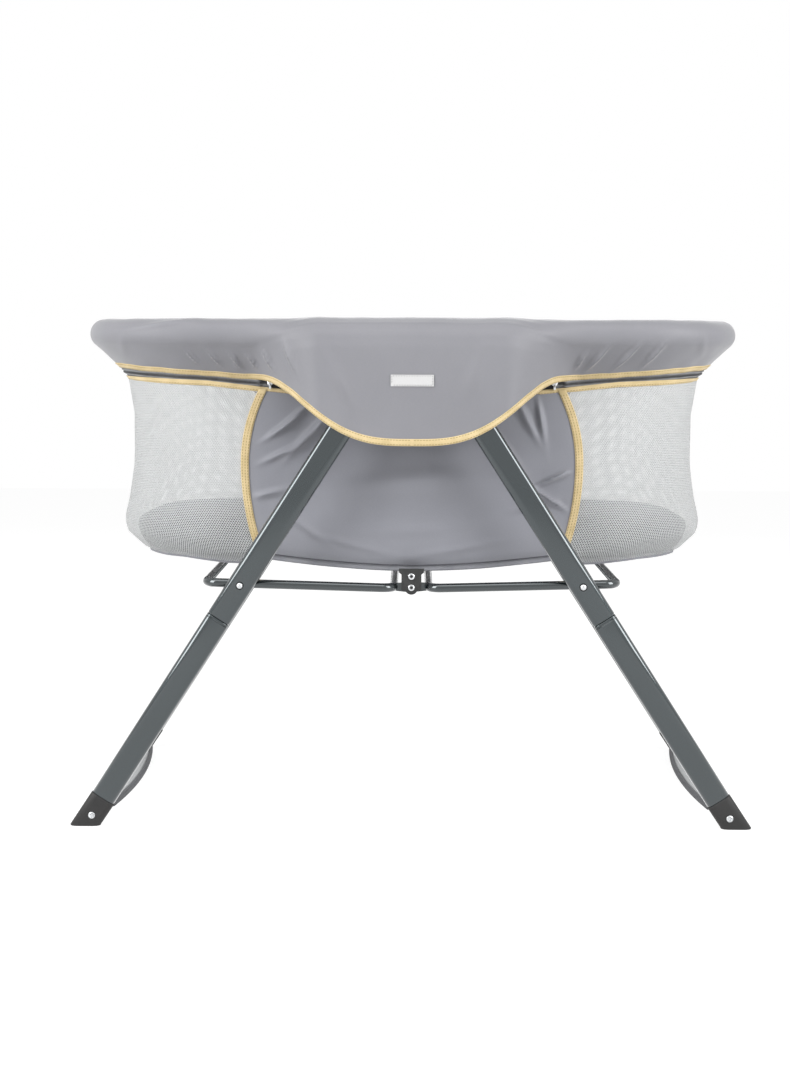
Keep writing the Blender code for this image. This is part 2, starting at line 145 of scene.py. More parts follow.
# %% [markdown]
# ## Tools for cloth
# A cloth starts as a grid of points. It could be modelled as a plane and sculpted, but a grid made by
# numbers keeps the seams of neighbouring pieces together. `sheet_mesh` makes a single sheet and `shell`
# a cloth with two faces; both carry a UV map in metres, so a weave keeps its real size on every piece.

# %% Tools for cloth
def link_object(name, mesh, material=None):
    """Puts a mesh into the scene as an object, with its material."""
    obj = bpy.data.objects.new(name, mesh)
    scene.collection.objects.link(obj)
    if material:
        mesh.materials.append(material)
    return obj


def sheet_mesh(name, points, material, loop=False, flip=False):
    """A grid of points (rows, columns, 3) as a smooth mesh with a UV map in metres."""
    rows, columns = points.shape[:2]
    along = np.linalg.norm(np.diff(points, axis=0), axis=2).mean(axis=1)
    across = np.linalg.norm(np.diff(points, axis=1), axis=2)
    u = np.concatenate([[0], np.cumsum(along)])
    v = np.concatenate([np.zeros((rows, 1)), np.cumsum(across, axis=1)], axis=1)
    wide = columns if loop else columns - 1
    faces = []
    corners = []
    for i in range(rows - 1):
        for j in range(wide):
            k = (j + 1) % columns
            quad = [(i, j), (i, k), (i + 1, k), (i + 1, j)]
            width = [(i, j), (i, j + 1), (i + 1, j + 1), (i + 1, j)]
            if flip:
                quad, width = quad[::-1], width[::-1]
            faces.append([a * columns + b for a, b in quad])
            corners += [(u[a], v[a][b] if b < columns else v[a][-1] + 0.004) for a, b in width]
    mesh = bpy.data.meshes.new(name)
    mesh.from_pydata(points.reshape(-1, 3).tolist(), [], faces)
    layer = mesh.uv_layers.new(name="metres")
    layer.data.foreach_set("uv", np.array(corners, np.float32).ravel())
    mesh.shade_smooth()
    return link_object(name, mesh, material)


def normals_of(points, closed=False):
    """Unit normals of a grid of points; closed when its last row meets its first."""
    along = np.roll(points, -1, 0) - np.roll(points, 1, 0) if closed else np.gradient(points, axis=0)
    return unit(np.cross(along, np.gradient(points, axis=1)))


def unit(vectors):
    """The vectors at length 1."""
    return vectors / np.maximum(np.linalg.norm(vectors, axis=-1, keepdims=True), 1e-12)


def shell(name, points, normals, thickness, material):
    """A cloth with two faces and a sewn edge; the given normals keep its shading smooth at a seam."""
    rows, columns = points.shape[:2]
    back = points - normals * thickness
    u = np.concatenate([[0], np.cumsum(np.linalg.norm(np.diff(points, axis=0), axis=2).mean(axis=1))])
    v = np.concatenate([np.zeros((rows, 1)),
                        np.cumsum(np.linalg.norm(np.diff(points, axis=1), axis=2), axis=1)], axis=1)
    index = np.arange(rows * columns).reshape(rows, columns)
    one_way, other_way = points[1, 0] - points[0, 0], points[0, 1] - points[0, 0]
    turned_in = np.sum(np.cross(one_way, other_way) * normals[0, 0]) < 0
    quads = np.stack([index[:-1, :-1], index[1:, :-1], index[1:, 1:], index[:-1, 1:]], -1).reshape(-1, 4)
    quads = quads[:, ::-1] if turned_in else quads
    rim = np.concatenate([index[0], index[1:, -1], index[-1, -2::-1], index[-2:0:-1, 0]])
    edge = np.stack([rim, np.roll(rim, -1), np.roll(rim, -1) + rows * columns, rim + rows * columns], -1)
    edge = edge if turned_in else edge[:, ::-1]
    faces = np.concatenate([quads, quads[:, ::-1] + rows * columns, edge])
    mesh = bpy.data.meshes.new(name)
    both_sides = np.concatenate([points.reshape(-1, 3), back.reshape(-1, 3)])
    mesh.from_pydata(both_sides.tolist(), [], faces.tolist())
    places = np.stack([np.repeat(u[:, None], columns, 1), v], -1).reshape(-1, 2)
    layer = mesh.uv_layers.new(name="metres")
    layer.data.foreach_set("uv", places[faces.ravel() % (rows * columns)].astype(np.float32).ravel())
    mesh.shade_smooth()
    way = np.concatenate([normals.reshape(-1, 3), -normals.reshape(-1, 3)])
    mesh.normals_split_custom_set_from_vertices(way.tolist())
    return link_object(name, mesh, material)


def facing_out(points, normals):
    """Flips the normals where they point to the middle of the bassinet."""
    away = points - np.array([0.0, 0.0, 0.5])
    return normals * (1 if np.sum(away * normals) > 0 else -1)


def ripple(points, scale, seed, stretch=(1, 1, 1)):
    """Smooth noise, about -1 to 1, at each point of a grid."""
    flat = points.reshape(-1, 3)
    out = [noise.noise(Vector((p[0] * stretch[0], p[1] * stretch[1], p[2] * stretch[2])) * scale
                       + Vector((seed, seed * 0.7, -seed))) for p in flat]
    return np.array(out).reshape(points.shape[:2])


# %% [markdown]
# ## Tools for lines and solids
# Metal and plastic parts are drawn as a section and carried along a path, ring by ring, the way a tube is
# drawn through a die. Bevels on a boolean shape would do too, but rings give clean shading everywhere.

# %% Tools for lines and solids
def smooth(low, high, value):
    """0 below low, 1 above high, and a soft S between them."""
    t = np.clip((value - low) / (high - low), 0.0, 1.0)
    return t * t * (3 - 2 * t)


def resample(line, count):
    """An open line (n, dims) as count points, evenly spaced along it."""
    line = np.asarray(line, float)
    steps = np.concatenate([[0], np.cumsum(np.linalg.norm(np.diff(line, axis=0), axis=1))])
    where = np.linspace(0, steps[-1], count)
    return np.stack([np.interp(where, steps, line[:, k]) for k in range(line.shape[1])], axis=1)


def arc(centre, radius, start, end, steps):
    """Points on an arc, in degrees, both ends included."""
    angles = np.radians(np.linspace(start, end, steps + 1))
    return [(centre[0] + radius * math.cos(a), centre[1] + radius * math.sin(a)) for a in angles]


def rounded(width, height, radius, steps=8):
    """A closed rectangle with round corners, centred on 0."""
    points = []
    for i, (sx, sy) in enumerate(((1, 1), (-1, 1), (-1, -1), (1, -1))):
        centre = (sx * (width / 2 - radius), sy * (height / 2 - radius))
        points += arc(centre, radius, 90 * i, 90 * i + 90, steps)
    return points


def solid(name, rings, material, loop=False, sharp=40):
    """A closed solid through rings of points, capped at both ends unless its rings form a loop."""
    count = len(rings[0])
    shape = bmesh.new()
    rows = [[shape.verts.new(p) for p in ring] for ring in rings]
    for one, two in list(zip(rows, rows[1:])) + ([(rows[-1], rows[0])] if loop else []):
        for i in range(count):
            j = (i + 1) % count
            shape.faces.new((one[i], one[j], two[j], two[i]))
    if not loop:
        shape.faces.new(rows[0])
        shape.faces.new(rows[-1])
    bmesh.ops.recalc_face_normals(shape, faces=shape.faces)
    mesh = bpy.data.meshes.new(name)
    shape.to_mesh(mesh)
    shape.free()
    mesh.shade_smooth()
    mesh.set_sharp_from_angle(angle=math.radians(sharp))
    return link_object(name, mesh, material)


def thicken(obj, thickness):
    """Gives a sheet its cloth thickness, half to each side."""
    step = obj.modifiers.new("cloth", "SOLIDIFY")
    step.thickness = thickness
    step.offset = 0.0
    return obj


def join(name, objects):
    """One mesh object from several, in the first one's place."""
    with bpy.context.temp_override(active_object=objects[0], selected_editable_objects=objects):
        bpy.ops.object.join()
    objects[0].name = name
    objects[0].data.name = name
    return objects[0]


def recolour(obj, material):
    """Gives a CAD part its only material."""
    obj.data.materials.clear()
    obj.data.materials.append(material)


def piece(obj, body, *nodes, slot=None):
    """The usual ending: obj rides on a body and stands for its CAD nodes."""
    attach(obj, body)
    if nodes:
        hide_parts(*nodes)
    return obj


# %% [markdown]
# ## How a material is made
# Every real surface varies a little: in colour, in gloss and in height. So each material below is a small
# net of noise and waves that feeds the base colour, the roughness and a bump of its shader. Cloth reads
# the UV map in metres, so its threads have a real size; metal and plastic read object coordinates.

# %% Material start
def new_material(name, roughness, metallic=0.0):
    """A node material; returns (material, tree, principled shader)."""
    material = bpy.data.materials.new(name)
    material.use_nodes = True
    tree = material.node_tree
    shader = tree.nodes["Principled BSDF"]
    shader.inputs["Roughness"].default_value = roughness
    shader.inputs["Metallic"].default_value = metallic
    return material, tree, shader


def object_place(tree):
    """Where a point is on its object, in metres."""
    return add(tree, "ShaderNodeTexCoord").outputs["Object"]


def uv_parts(tree):
    """The cloth's UV map in metres, whole and as u and v."""
    uv = add(tree, "ShaderNodeUVMap", uv_map="metres").outputs[0]
    split = add(tree, "ShaderNodeSeparateXYZ", {0: uv})
    return uv, split.outputs[0], split.outputs[1]


def wave_of(tree, value, pitch):
    """0 to 1 and back once per pitch."""
    angle = add(tree, "ShaderNodeMath", {0: value, 1: 2 * math.pi / pitch}, operation="MULTIPLY").outputs[0]
    sine = add(tree, "ShaderNodeMath", {0: angle}, operation="SINE").outputs[0]
    return add(tree, "ShaderNodeMath", {0: sine, 1: 0.5, 2: 0.5}, operation="MULTIPLY_ADD").outputs[0]


# %% [markdown]
# ## Woven cloth
# Plain woven polyester: threads one way pass over and under the threads the other way. Two waves at right
# angles give the crossings in the bump, and also as painted light in the colour, where the raised threads
# are a little paler. Long thin noise gives the slubs of uneven yarn, and a low sheen gives the pale edge
# that short fibres show at a glancing angle. A weave painted from an image would blur close up; this one
# does not.

# %% Woven cloth
def weave_height(tree, u, v, pitch):
    """Plain weave: high where one thread passes over, and where the other one does."""
    along, across = wave_of(tree, u, pitch), wave_of(tree, v, pitch)
    over = add(tree, "ShaderNodeMath", {0: along, 1: across}, operation="MULTIPLY").outputs[0]
    between = add(tree, "ShaderNodeMath", {0: 1.0, 1: along}, operation="SUBTRACT").outputs[0]
    beside = add(tree, "ShaderNodeMath", {0: 1.0, 1: across}, operation="SUBTRACT").outputs[0]
    under = add(tree, "ShaderNodeMath", {0: between, 1: beside}, operation="MULTIPLY").outputs[0]
    return add(tree, "ShaderNodeMath", {0: over, 1: under}, operation="MAXIMUM").outputs[0]


def woven(name, low, high, pitch=0.5 * MM, bump=0.12, sheen=0.25, roughness=0.62):
    """Smooth woven polyester between two shades, with slubs, soft creases and a faint sheen."""
    material, tree, shader = new_material(name, roughness)
    uv, u, v = uv_parts(tree)
    place = object_place(tree)
    weave = weave_height(tree, u, v, pitch)
    clouds = add(tree, "ShaderNodeTexNoise", {"Vector": place, "Scale": 9.0, "Detail": 4.0}).outputs[0]
    yarn = add(tree, "ShaderNodeMapping", {0: uv, 3: (300.0, 3000.0, 1.0)}).outputs[0]
    slubs = add(tree, "ShaderNodeTexNoise", {"Vector": yarn, "Scale": 1.0, "Detail": 2.0}).outputs[0]
    shade = add(tree, "ShaderNodeMix", {0: 0.45, 2: clouds, 3: slubs}).outputs[0]
    # The raised crossings are painted a little paler: painted light on the threads.
    shade = add(tree, "ShaderNodeMix", {0: 0.18, 2: shade, 3: weave}).outputs[0]
    rough = add(tree, "ShaderNodeMath", {0: clouds, 1: 0.12, 2: roughness - 0.06},
                operation="MULTIPLY_ADD").outputs[0]
    crumple = add(tree, "ShaderNodeTexNoise", {"Vector": place, "Scale": 55.0, "Detail": 5.0,
                                               "Roughness": 0.55}).outputs[0]
    threads = add(tree, "ShaderNodeMath", {0: weave, 1: 0.06}, operation="MULTIPLY").outputs[0]
    height = add(tree, "ShaderNodeMath", {0: crumple, 1: 0.55, 2: threads},
                 operation="MULTIPLY_ADD").outputs[0]
    bumped = add(tree, "ShaderNodeBump", {"Strength": bump, "Distance": 1.2 * MM, "Height": height})
    connect(tree, shader, {"Base Color": two_shades(tree, shade, 0.30, low, 0.70, high), "Roughness": rough,
                           "Normal": bumped.outputs[0], "Sheen Weight": sheen, "Sheen Roughness": 0.45,
                           "Specular IOR Level": 0.35})
    return material


# %% [markdown]
# ## Binding tape
# A narrow tape folded over a raw edge and sewn down. Its fine cross ribs are one wave along its length, in
# the bump and, as painted light, in the colour; uneven dye makes some ribs paler. It is matt, with a little
# sheen.

# %% Binding tape
def binding_tape(name, low, high):
    """Ribbed binding tape: fine cross ribs, bumped and painted into the colour as light, and uneven dye."""
    material, tree, shader = new_material(name, 0.7)
    along = uv_parts(tree)[1]
    ribs = wave_of(tree, along, 0.9 * MM)
    clouds = add(tree, "ShaderNodeTexNoise", {"Vector": object_place(tree), "Scale": 60.0,
                                              "Detail": 3.0}).outputs[0]
    # The ribs lighten the colour in a wave: painted light, mixed with the uneven dye.
    shade = add(tree, "ShaderNodeMix", {0: 0.65, 2: ribs, 3: clouds}).outputs[0]
    bumped = add(tree, "ShaderNodeBump", {"Strength": 0.35, "Distance": 0.5 * MM, "Height": shade})
    connect(tree, shader, {"Base Color": two_shades(tree, shade, 0.25, low, 0.75, high),
                           "Normal": bumped.outputs[0], "Sheen Weight": 0.2, "Specular IOR Level": 0.3})
    return material


# %% [markdown]
# ## Knitted mesh
# The ends of the tub are a knitted mesh with staggered rows of small holes. Modelling each hole would take
# a hundred thousand faces, so the holes are cut by the material's alpha: a distance from each cell's middle,
# soft at its edge because the threads round a hole are thin and fuzzy.

# %% Knitted mesh
def mesh_net(name, thread, across=3.4 * MM, up=2.3 * MM, hole=0.445):
    """Knitted mesh: staggered round holes cut through pale threads."""
    material, tree, shader = new_material(name, 0.8)
    u, v = uv_parts(tree)[1:]
    column = add(tree, "ShaderNodeMath", {0: u, 1: across}, operation="DIVIDE").outputs[0]
    level = add(tree, "ShaderNodeMath", {0: v, 1: up}, operation="DIVIDE").outputs[0]
    row = add(tree, "ShaderNodeMath", {0: level}, operation="FLOOR").outputs[0]
    odd = add(tree, "ShaderNodeMath", {0: row, 1: 1.0}, operation="PINGPONG").outputs[0]
    shifted = add(tree, "ShaderNodeMath", {0: odd, 1: 0.5, 2: column}, operation="MULTIPLY_ADD").outputs[0]
    x = add(tree, "ShaderNodeMath", {0: shifted}, operation="FRACT").outputs[0]
    y = add(tree, "ShaderNodeMath", {0: level}, operation="FRACT").outputs[0]
    cell = add(tree, "ShaderNodeCombineXYZ", {0: x, 1: y}).outputs[0]
    from_middle = add(tree, "ShaderNodeVectorMath", {0: cell, 1: (0.5, 0.5, 0.0)},
                      operation="SUBTRACT").outputs[0]
    squeezed = add(tree, "ShaderNodeVectorMath", {0: from_middle, 1: (1.0, 0.85, 1.0)},
                   operation="MULTIPLY").outputs[0]
    distance = add(tree, "ShaderNodeVectorMath", {0: squeezed}, operation="LENGTH").outputs["Value"]
    beyond = add(tree, "ShaderNodeMath", {0: distance, 1: hole - 0.14}, operation="SUBTRACT").outputs[0]
    edge = add(tree, "ShaderNodeMath", {0: beyond, 1: 12.0}, operation="MULTIPLY").outputs[0]
    knit = add(tree, "ShaderNodeMath", {0: edge, 1: 1.0}, operation="SMOOTH_MIN").outputs[0]
    alpha = add(tree, "ShaderNodeMath", {0: knit, 1: 0.22}, operation="MAXIMUM", use_clamp=True).outputs[0]
    fuzz = add(tree, "ShaderNodeTexNoise", {"Vector": object_place(tree), "Scale": 900.0,
                                            "Detail": 1.0}).outputs[0]
    connect(tree, shader, {"Base Color": two_shades(tree, fuzz, 0.3, thread[0], 0.7, thread[1]),
                           "Alpha": alpha, "Sheen Weight": 0.3, "Specular IOR Level": 0.2})
    material.surface_render_method = "DITHERED"
    return material


# %% [markdown]
# ## Painted steel
# Baked paint over steel tube: a dark coat with fine metal flake under clear gloss. The clear coat gives
# the sharp highlights along the tube's edges; faint orange peel and handling smears keep them from
# looking drawn with a ruler.

# %% Painted steel
def painted_steel(name, code, low=0.13, high=0.24, orange_peel=0.04):
    """Baked paint on steel: clear gloss over a dark coat, faint orange peel and handling smears."""
    material, tree, shader = new_material(name, low, 0.75)
    place = object_place(tree)
    smears = add(tree, "ShaderNodeTexNoise", {"Vector": place, "Scale": 14.0, "Detail": 5.0}).outputs[0]
    peel = add(tree, "ShaderNodeTexNoise", {"Vector": place, "Scale": 420.0, "Detail": 2.0}).outputs[0]
    half_smears = add(tree, "ShaderNodeMath", {0: smears, 1: 0.5}, operation="MULTIPLY").outputs[0]
    colour = add(tree, "ShaderNodeMix", {0: half_smears, 6: linear(code[0]), 7: linear(code[1])},
                 data_type="RGBA").outputs[2]
    rough = add(tree, "ShaderNodeMath", {0: smears, 1: high - low, 2: low},
                operation="MULTIPLY_ADD").outputs[0]
    bumped = add(tree, "ShaderNodeBump", {"Strength": orange_peel, "Distance": 0.3 * MM, "Height": peel})
    connect(tree, shader, {"Base Color": colour, "Roughness": rough, "Normal": bumped.outputs[0],
                           "Coat Weight": 1.0, "Coat IOR": 1.7, "Coat Roughness": 0.04,
                           "Specular IOR Level": 0.6})
    return material


# %% [markdown]
# ## Moulded plastic and rubber
# A mould leaves its own fine grain on the part, and gloss that changes slowly across it. The same net
# also serves thread and foam, with a coarser grain and a duller surface.

# %% Moulded plastic and rubber
def moulded(name, low, high, roughness=0.5, grain=700.0, bump=0.18):
    """Moulded plastic or rubber: fine spark-eroded grain with slightly uneven gloss."""
    material, tree, shader = new_material(name, roughness)
    place = object_place(tree)
    fine = add(tree, "ShaderNodeTexNoise", {"Vector": place, "Scale": grain, "Detail": 3.0}).outputs[0]
    broad = add(tree, "ShaderNodeTexNoise", {"Vector": place, "Scale": 25.0, "Detail": 3.0}).outputs[0]
    shade = add(tree, "ShaderNodeMix", {0: 0.7, 2: fine, 3: broad}).outputs[0]
    rough = add(tree, "ShaderNodeMath", {0: broad, 1: 0.16, 2: roughness - 0.08},
                operation="MULTIPLY_ADD").outputs[0]
    bumped = add(tree, "ShaderNodeBump", {"Strength": bump, "Distance": 0.15 * MM, "Height": fine})
    connect(tree, shader, {"Base Color": two_shades(tree, shade, 0.3, low, 0.7, high), "Roughness": rough,
                           "Normal": bumped.outputs[0]})
    return material


# %% [markdown]
# ## Bare metal
# Rivets, bolts and sliders are plated steel. Tarnish changes the colour and gloss in small patches, and
# noise stretched hard one way stands for the marks of turning and drawing.

# %% Bare metal
def bare_metal(name, low, high, roughness=0.28, scratch=0.08):
    """Zinc-plated or plain steel with turning marks and small tarnish."""
    material, tree, shader = new_material(name, roughness, 1.0)
    place = object_place(tree)
    tarnish = add(tree, "ShaderNodeTexNoise", {"Vector": place, "Scale": 120.0, "Detail": 4.0}).outputs[0]
    drawn = add(tree, "ShaderNodeMapping", {0: place, 3: (200.0, 4000.0, 200.0)}).outputs[0]
    marks = add(tree, "ShaderNodeTexNoise", {"Vector": drawn, "Scale": 1.0, "Detail": 2.0}).outputs[0]
    rough = add(tree, "ShaderNodeMath", {0: tarnish, 1: 0.2, 2: roughness - 0.1},
                operation="MULTIPLY_ADD").outputs[0]
    bumped = add(tree, "ShaderNodeBump", {"Strength": scratch, "Distance": 0.1 * MM, "Height": marks})
    connect(tree, shader, {"Base Color": two_shades(tree, tarnish, 0.3, low, 0.7, high),
                           "Roughness": rough, "Normal": bumped.outputs[0]})
    return material


# %% [markdown]
# ## The finishes
# Each finish is named for what it is on the real object. The two colours are the darkest and the palest
# shade that the surface shows in even light, so the variation stays small and the mean stays true.

# %% The finishes
# Mid grey cloth of the cover: smooth, with a soft edge of light along the roll.
rim_cloth = woven("rim_polyester", "#7f7f84", "#8c8c91", sheen=0.35, roughness=0.5)
# Front and back panels: the same cloth a touch bluer, and more crumpled.
panel_cloth = woven("panel_polyester", "#83848b", "#919299", bump=0.16, sheen=0.35, roughness=0.5)
# Mattress cover: a dark coarse knit, dull and soft.
mattress_cloth = woven("mattress_knit", "#2f3034", "#404145", pitch=1.6 * MM, bump=0.35, roughness=0.8)
# Underside of the tub: grey cloth painted paler than it is, painted light that lifts the shade it lies in.
floor_cloth = woven("floor_polyester", "#8a8b90", "#989a9e", bump=0.15)
# Label satin: pale, close weave.
label_cloth = woven("label_satin", "#c2c2c2", "#d6d6d6", pitch=0.35 * MM, bump=0.1)
# Dark sheet behind the open part of the zip: painted shadow that stands for the shade in the gap.
painted_shadow_lining = woven("painted_shadow_lining", "#2b2b2d", "#3a3a3d", bump=0.1)
# Sand-gold tape on the hem and the side seams: the one warm colour.
gold_tape = binding_tape("gold_binding_tape", "#bfaa7c", "#e4cfa2")
# Grey tape and the woven zip tape: matt, ribbed, close to the cloth.
grey_tape = binding_tape("grey_binding_tape", "#7d7e84", "#95969c")
zip_tape = binding_tape("zip_tape", "#5f6062", "#808183")
# Threads: matt and twisted, darker than the tape they hold down.
gold_thread = moulded("gold_thread", "#806c42", "#9b8454", 0.8)
# This dark thread colour also paints the shade of the seam's groove above each bottom binding.
thread_and_seam_shadow = moulded("thread_and_seam_shadow", "#47484d", "#56575c", 0.9)
# White knitted mesh: pale threads that let the dark mattress show through.
white_mesh = mesh_net("white_knit_mesh", ("#b8babb", "#cacccc"))
# Slate paint: nearly black, blue-green where the light catches it, glossy.
leg_paint = painted_steel("slate_paint", ("#1e2a2e", "#273539"))
# The base loops have the same slate paint, made a shade darker than on the legs: painted shade.
shaded_loop_paint = painted_steel("slate_paint_shaded", ("#1a2528", "#232f33"))
# Black nylon brackets and softer black feet: satin against matt.
black_plastic = moulded("black_nylon", "#1d1e1e", "#2b2c2c", 0.45)
foot_plastic = moulded("foot_plastic", "#1f1f1f", "#2a2929", 0.6)
# Light grey rockers with a darker, dull rubber tread.
rocker_plastic = moulded("rocker_plastic", "#9b9d9e", "#acaeaf", 0.5)
tread_rubber = moulded("tread_rubber", "#505153", "#616265", 0.75)
# Zip: pale folded edges of the tape beside a dark coil.
zip_edge = binding_tape("zip_tape_edge", "#77787a", "#9c9d9f")
zip_coil = moulded("zip_coil", "#3c3d3e", "#545557", 0.5)
# Metals: bright zinc rivets, blackened washers, and the plain steel tube inside the rail.
zinc = bare_metal("zinc_plate", "#b9bbbd", "#e6e8ea")
dark_steel = bare_metal("blackened_steel", "#2a2b2c", "#3a3b3c", 0.4)
rail_steel = bare_metal("rail_steel", "#8d8f91", "#b2b4b6", 0.35)
# Foam round the rail tube: open, matt and off-white.
pad_foam = moulded("pad_foam", "#c4c3bc", "#d8d7d0", 0.95, 260.0, 0.6)
print("materials:", len(bpy.data.materials))

# %% [markdown]
# ## Camera and light
# A long lens a little below rail height, tipped slightly down, flattens the shape and keeps the two ends
# alike. The studio is white. The camera, gloss and clear surfaces see it at full strength, and diffuse
# surfaces get less of it, so that four soft lights can shape the cloth: above, at each side and behind.

# %% Camera, floor and light
CAMERA_AT = (0.000, -2.750, 0.6290)
CAMERA_TURN = (math.radians(84.56), math.radians(-0.213), math.radians(0.52))
camera_data = bpy.data.cameras.new("camera")
camera_data.lens = 64.5
camera_data.sensor_width = 36.0
camera = bpy.data.objects.new("camera", camera_data)
camera.location = CAMERA_AT
camera.rotation_euler = CAMERA_TURN
scene.collection.objects.link(camera)
scene.camera = camera
scene.view_settings.view_transform = "Standard"


def area_light(name, place, target, size, power):
    """A rectangular soft light at a place, turned to a target; power in watts."""
    data = bpy.data.lights.new(name, "AREA")
    data.shape = "RECTANGLE"
    data.size, data.size_y = size
    data.energy = power
    lamp = bpy.data.objects.new(name, data)
    lamp.location = place
    lamp.rotation_euler = (Vector(target) - Vector(place)).to_track_quat("-Z", "Y").to_euler()
    scene.collection.objects.link(lamp)


area_light("top", (-0.3, -1.3, 2.7), (0, 0, 0.5), (2.8, 1.4), 26)
area_light("left", (-1.75, -1.30, 1.15), (-0.25, -0.25, 0.35), (0.9, 1.6), 34)
area_light("right", (1.75, -1.30, 1.15), (0.25, -0.25, 0.35), (0.9, 1.6), 34)
area_light("back", (0.3, 2.6, 2.2), (0, 0, 0.5), (3.0, 1.5), 16)

DIFFUSE_SKY = 0.31                                 # how bright the studio is to diffuse surfaces
world = bpy.data.worlds.new("studio")
world.use_nodes = True
scene.world = world
tree = world.node_tree
sky = tree.nodes["Background"]
rays = add(tree, "ShaderNodeLightPath").outputs
mirrored = add(tree, "ShaderNodeMath", {0: rays["Is Glossy Ray"], 1: rays["Is Transmission Ray"]},
               operation="MAXIMUM").outputs[0]
seen = add(tree, "ShaderNodeMath", {0: rays["Is Camera Ray"], 1: mirrored}, operation="MAXIMUM").outputs[0]
strength = add(tree, "ShaderNodeMix", {0: seen, 2: DIFFUSE_SKY, 3: 1.0}).outputs[0]
tree.links.new(strength, sky.inputs["Strength"])
sky.inputs["Color"].default_value = (1.0, 1.0, 1.0, 1.0)

floor_mesh = bpy.data.meshes.new("floor")
floor_mesh.from_pydata([(-6, -6, 0), (6, -6, 0), (6, 6, 0), (-6, 6, 0)], [], [(0, 1, 2, 3)])
floor_white, tree, shader = new_material("floor_white", 0.9)
shader.inputs["Base Color"].default_value = (0.8, 0.8, 0.8, 1.0)
glow = add(tree, "ShaderNodeEmission", {"Color": (1, 1, 1, 1), "Strength": 0.86}).outputs[0]
grey = add(tree, "ShaderNodeBsdfDiffuse", {"Color": (0.36, 0.36, 0.36, 1.0)}).outputs[0]
both = add(tree, "ShaderNodeAddShader", {0: glow, 1: grey}).outputs[0]
rays = add(tree, "ShaderNodeLightPath").outputs
seen = add(tree, "ShaderNodeMath", {0: rays["Is Camera Ray"], 1: rays["Is Glossy Ray"]},
           operation="MAXIMUM").outputs[0]
mixed = add(tree, "ShaderNodeMixShader", {0: seen, 1: shader.outputs[0], 2: both}).outputs[0]
tree.links.new(mixed, tree.nodes["Material Output"].inputs["Surface"])
floor = link_object("floor", floor_mesh, floor_white)
floor.location.z = -0.5 * MM
print("camera at", CAMERA_AT)


# %% [markdown]
# ## The rail cover and flap
# One sewn cover per half. Its section runs from inside the roll, over the top and down to the hem. Near
# the middle the section opens into the flap that hangs over the hub and the tops of the legs. Both halves
# are made as one closed grid and then divided, so the noise and the normals agree where they meet.

# %% Rail cover
def rail_route(step=3.2 * MM):
    """Stations along half of the rail, right side: rows of (x, y, normal x, normal y)."""
    straight = np.arange(0, RAIL_X - RAIL_CORNER, step)
    route = [(x, -RAIL_Y, 0, -1) for x in straight]
    for way, first in ((-1, -90), (1, 0)):
        centre = (RAIL_X - RAIL_CORNER, way * (RAIL_Y - RAIL_CORNER))
        for angle in np.radians(np.linspace(first, first + 90, 44)):
            n = (math.cos(angle), math.sin(angle))
            route.append((centre[0] + RAIL_CORNER * n[0], centre[1] + RAIL_CORNER * n[1], *n))
        if way < 0:
            run = RAIL_Y - RAIL_CORNER
            route += [(RAIL_X, y, 1, 0) for y in np.arange(-run + step, run, step)]
    route += [(x, RAIL_Y, 0, 1) for x in straight[::-1]]
    return np.array(route)


ROUTE = rail_route()
FROM_MIDDLE = np.abs(ROUTE[:, 0])
HEM_SIDE, HEM_END = 0.5915, 0.6085                 # hem heights beside the flap and at the ends


def hem_of(x):
    """Height of the hem above the floor at distance x from the middle."""
    if x < FLAP_HALF:
        share = (x / FLAP_HALF) ** 1.55
        return FLAP_LOW + (HEM_SIDE - FLAP_LOW) * (1 - math.cos(math.pi * share)) / 2
    return HEM_SIDE + (HEM_END - HEM_SIDE) * min((x - FLAP_HALF) / 0.24, 1.0)


def skirt_section(hem):
    """The plain section, as (outward, up) from the rail's axis: roll, then a skirt that slopes in."""
    drop = hem - RAIL_Z
    end = (-0.0175 + (drop + 0.0435) * 0.5, drop)
    line = arc((0, 0), ROLL, 80, -50, 26)
    tip = line[-1]
    pull = (tip[0] - 0.766 * 0.008, tip[1] - 0.643 * 0.008)
    for t in np.linspace(0, 1, 20)[1:]:
        first, second, third = (1 - t) ** 2, 2 * t * (1 - t), t * t
        line.append(tuple(first * tip[k] + second * pull[k] + third * end[k] for k in (0, 1)))
    return line


def flap_section(hem):
    """The section over the hub: out from the top of the roll, then down outside the legs."""
    reach = FLAP_Y - RAIL_Y
    line = arc((0, 0), ROLL, 80, 74, 2)
    line += [(0.016, 0.0222), (0.032, 0.0208), (0.046, 0.0140), (reach - 0.003, 0.0), (reach, -0.016)]
    line += [(reach, z) for z in np.linspace(-0.03, hem - RAIL_Z, 10)]
    return line


def fold(points, normals, at, angle, length, width, height, row=-1):
    """Moves a grid out along its normals in one crease through at (x, z), at an angle in degrees."""
    x, z = points[..., 0] - at[0], points[..., 2] - at[1]
    c, s = math.cos(math.radians(angle)), math.sin(math.radians(angle))
    along, across = x * c + z * s, -x * s + z * c
    size = height * np.exp(-(across / width) ** 2) * np.exp(-(along / length) ** 2)
    size *= np.sign(points[..., 1]) == row
    return points + normals * size[..., None]


HUB_BULGE = 3.2 * MM                               # the roll is this much fuller where it wraps the hub


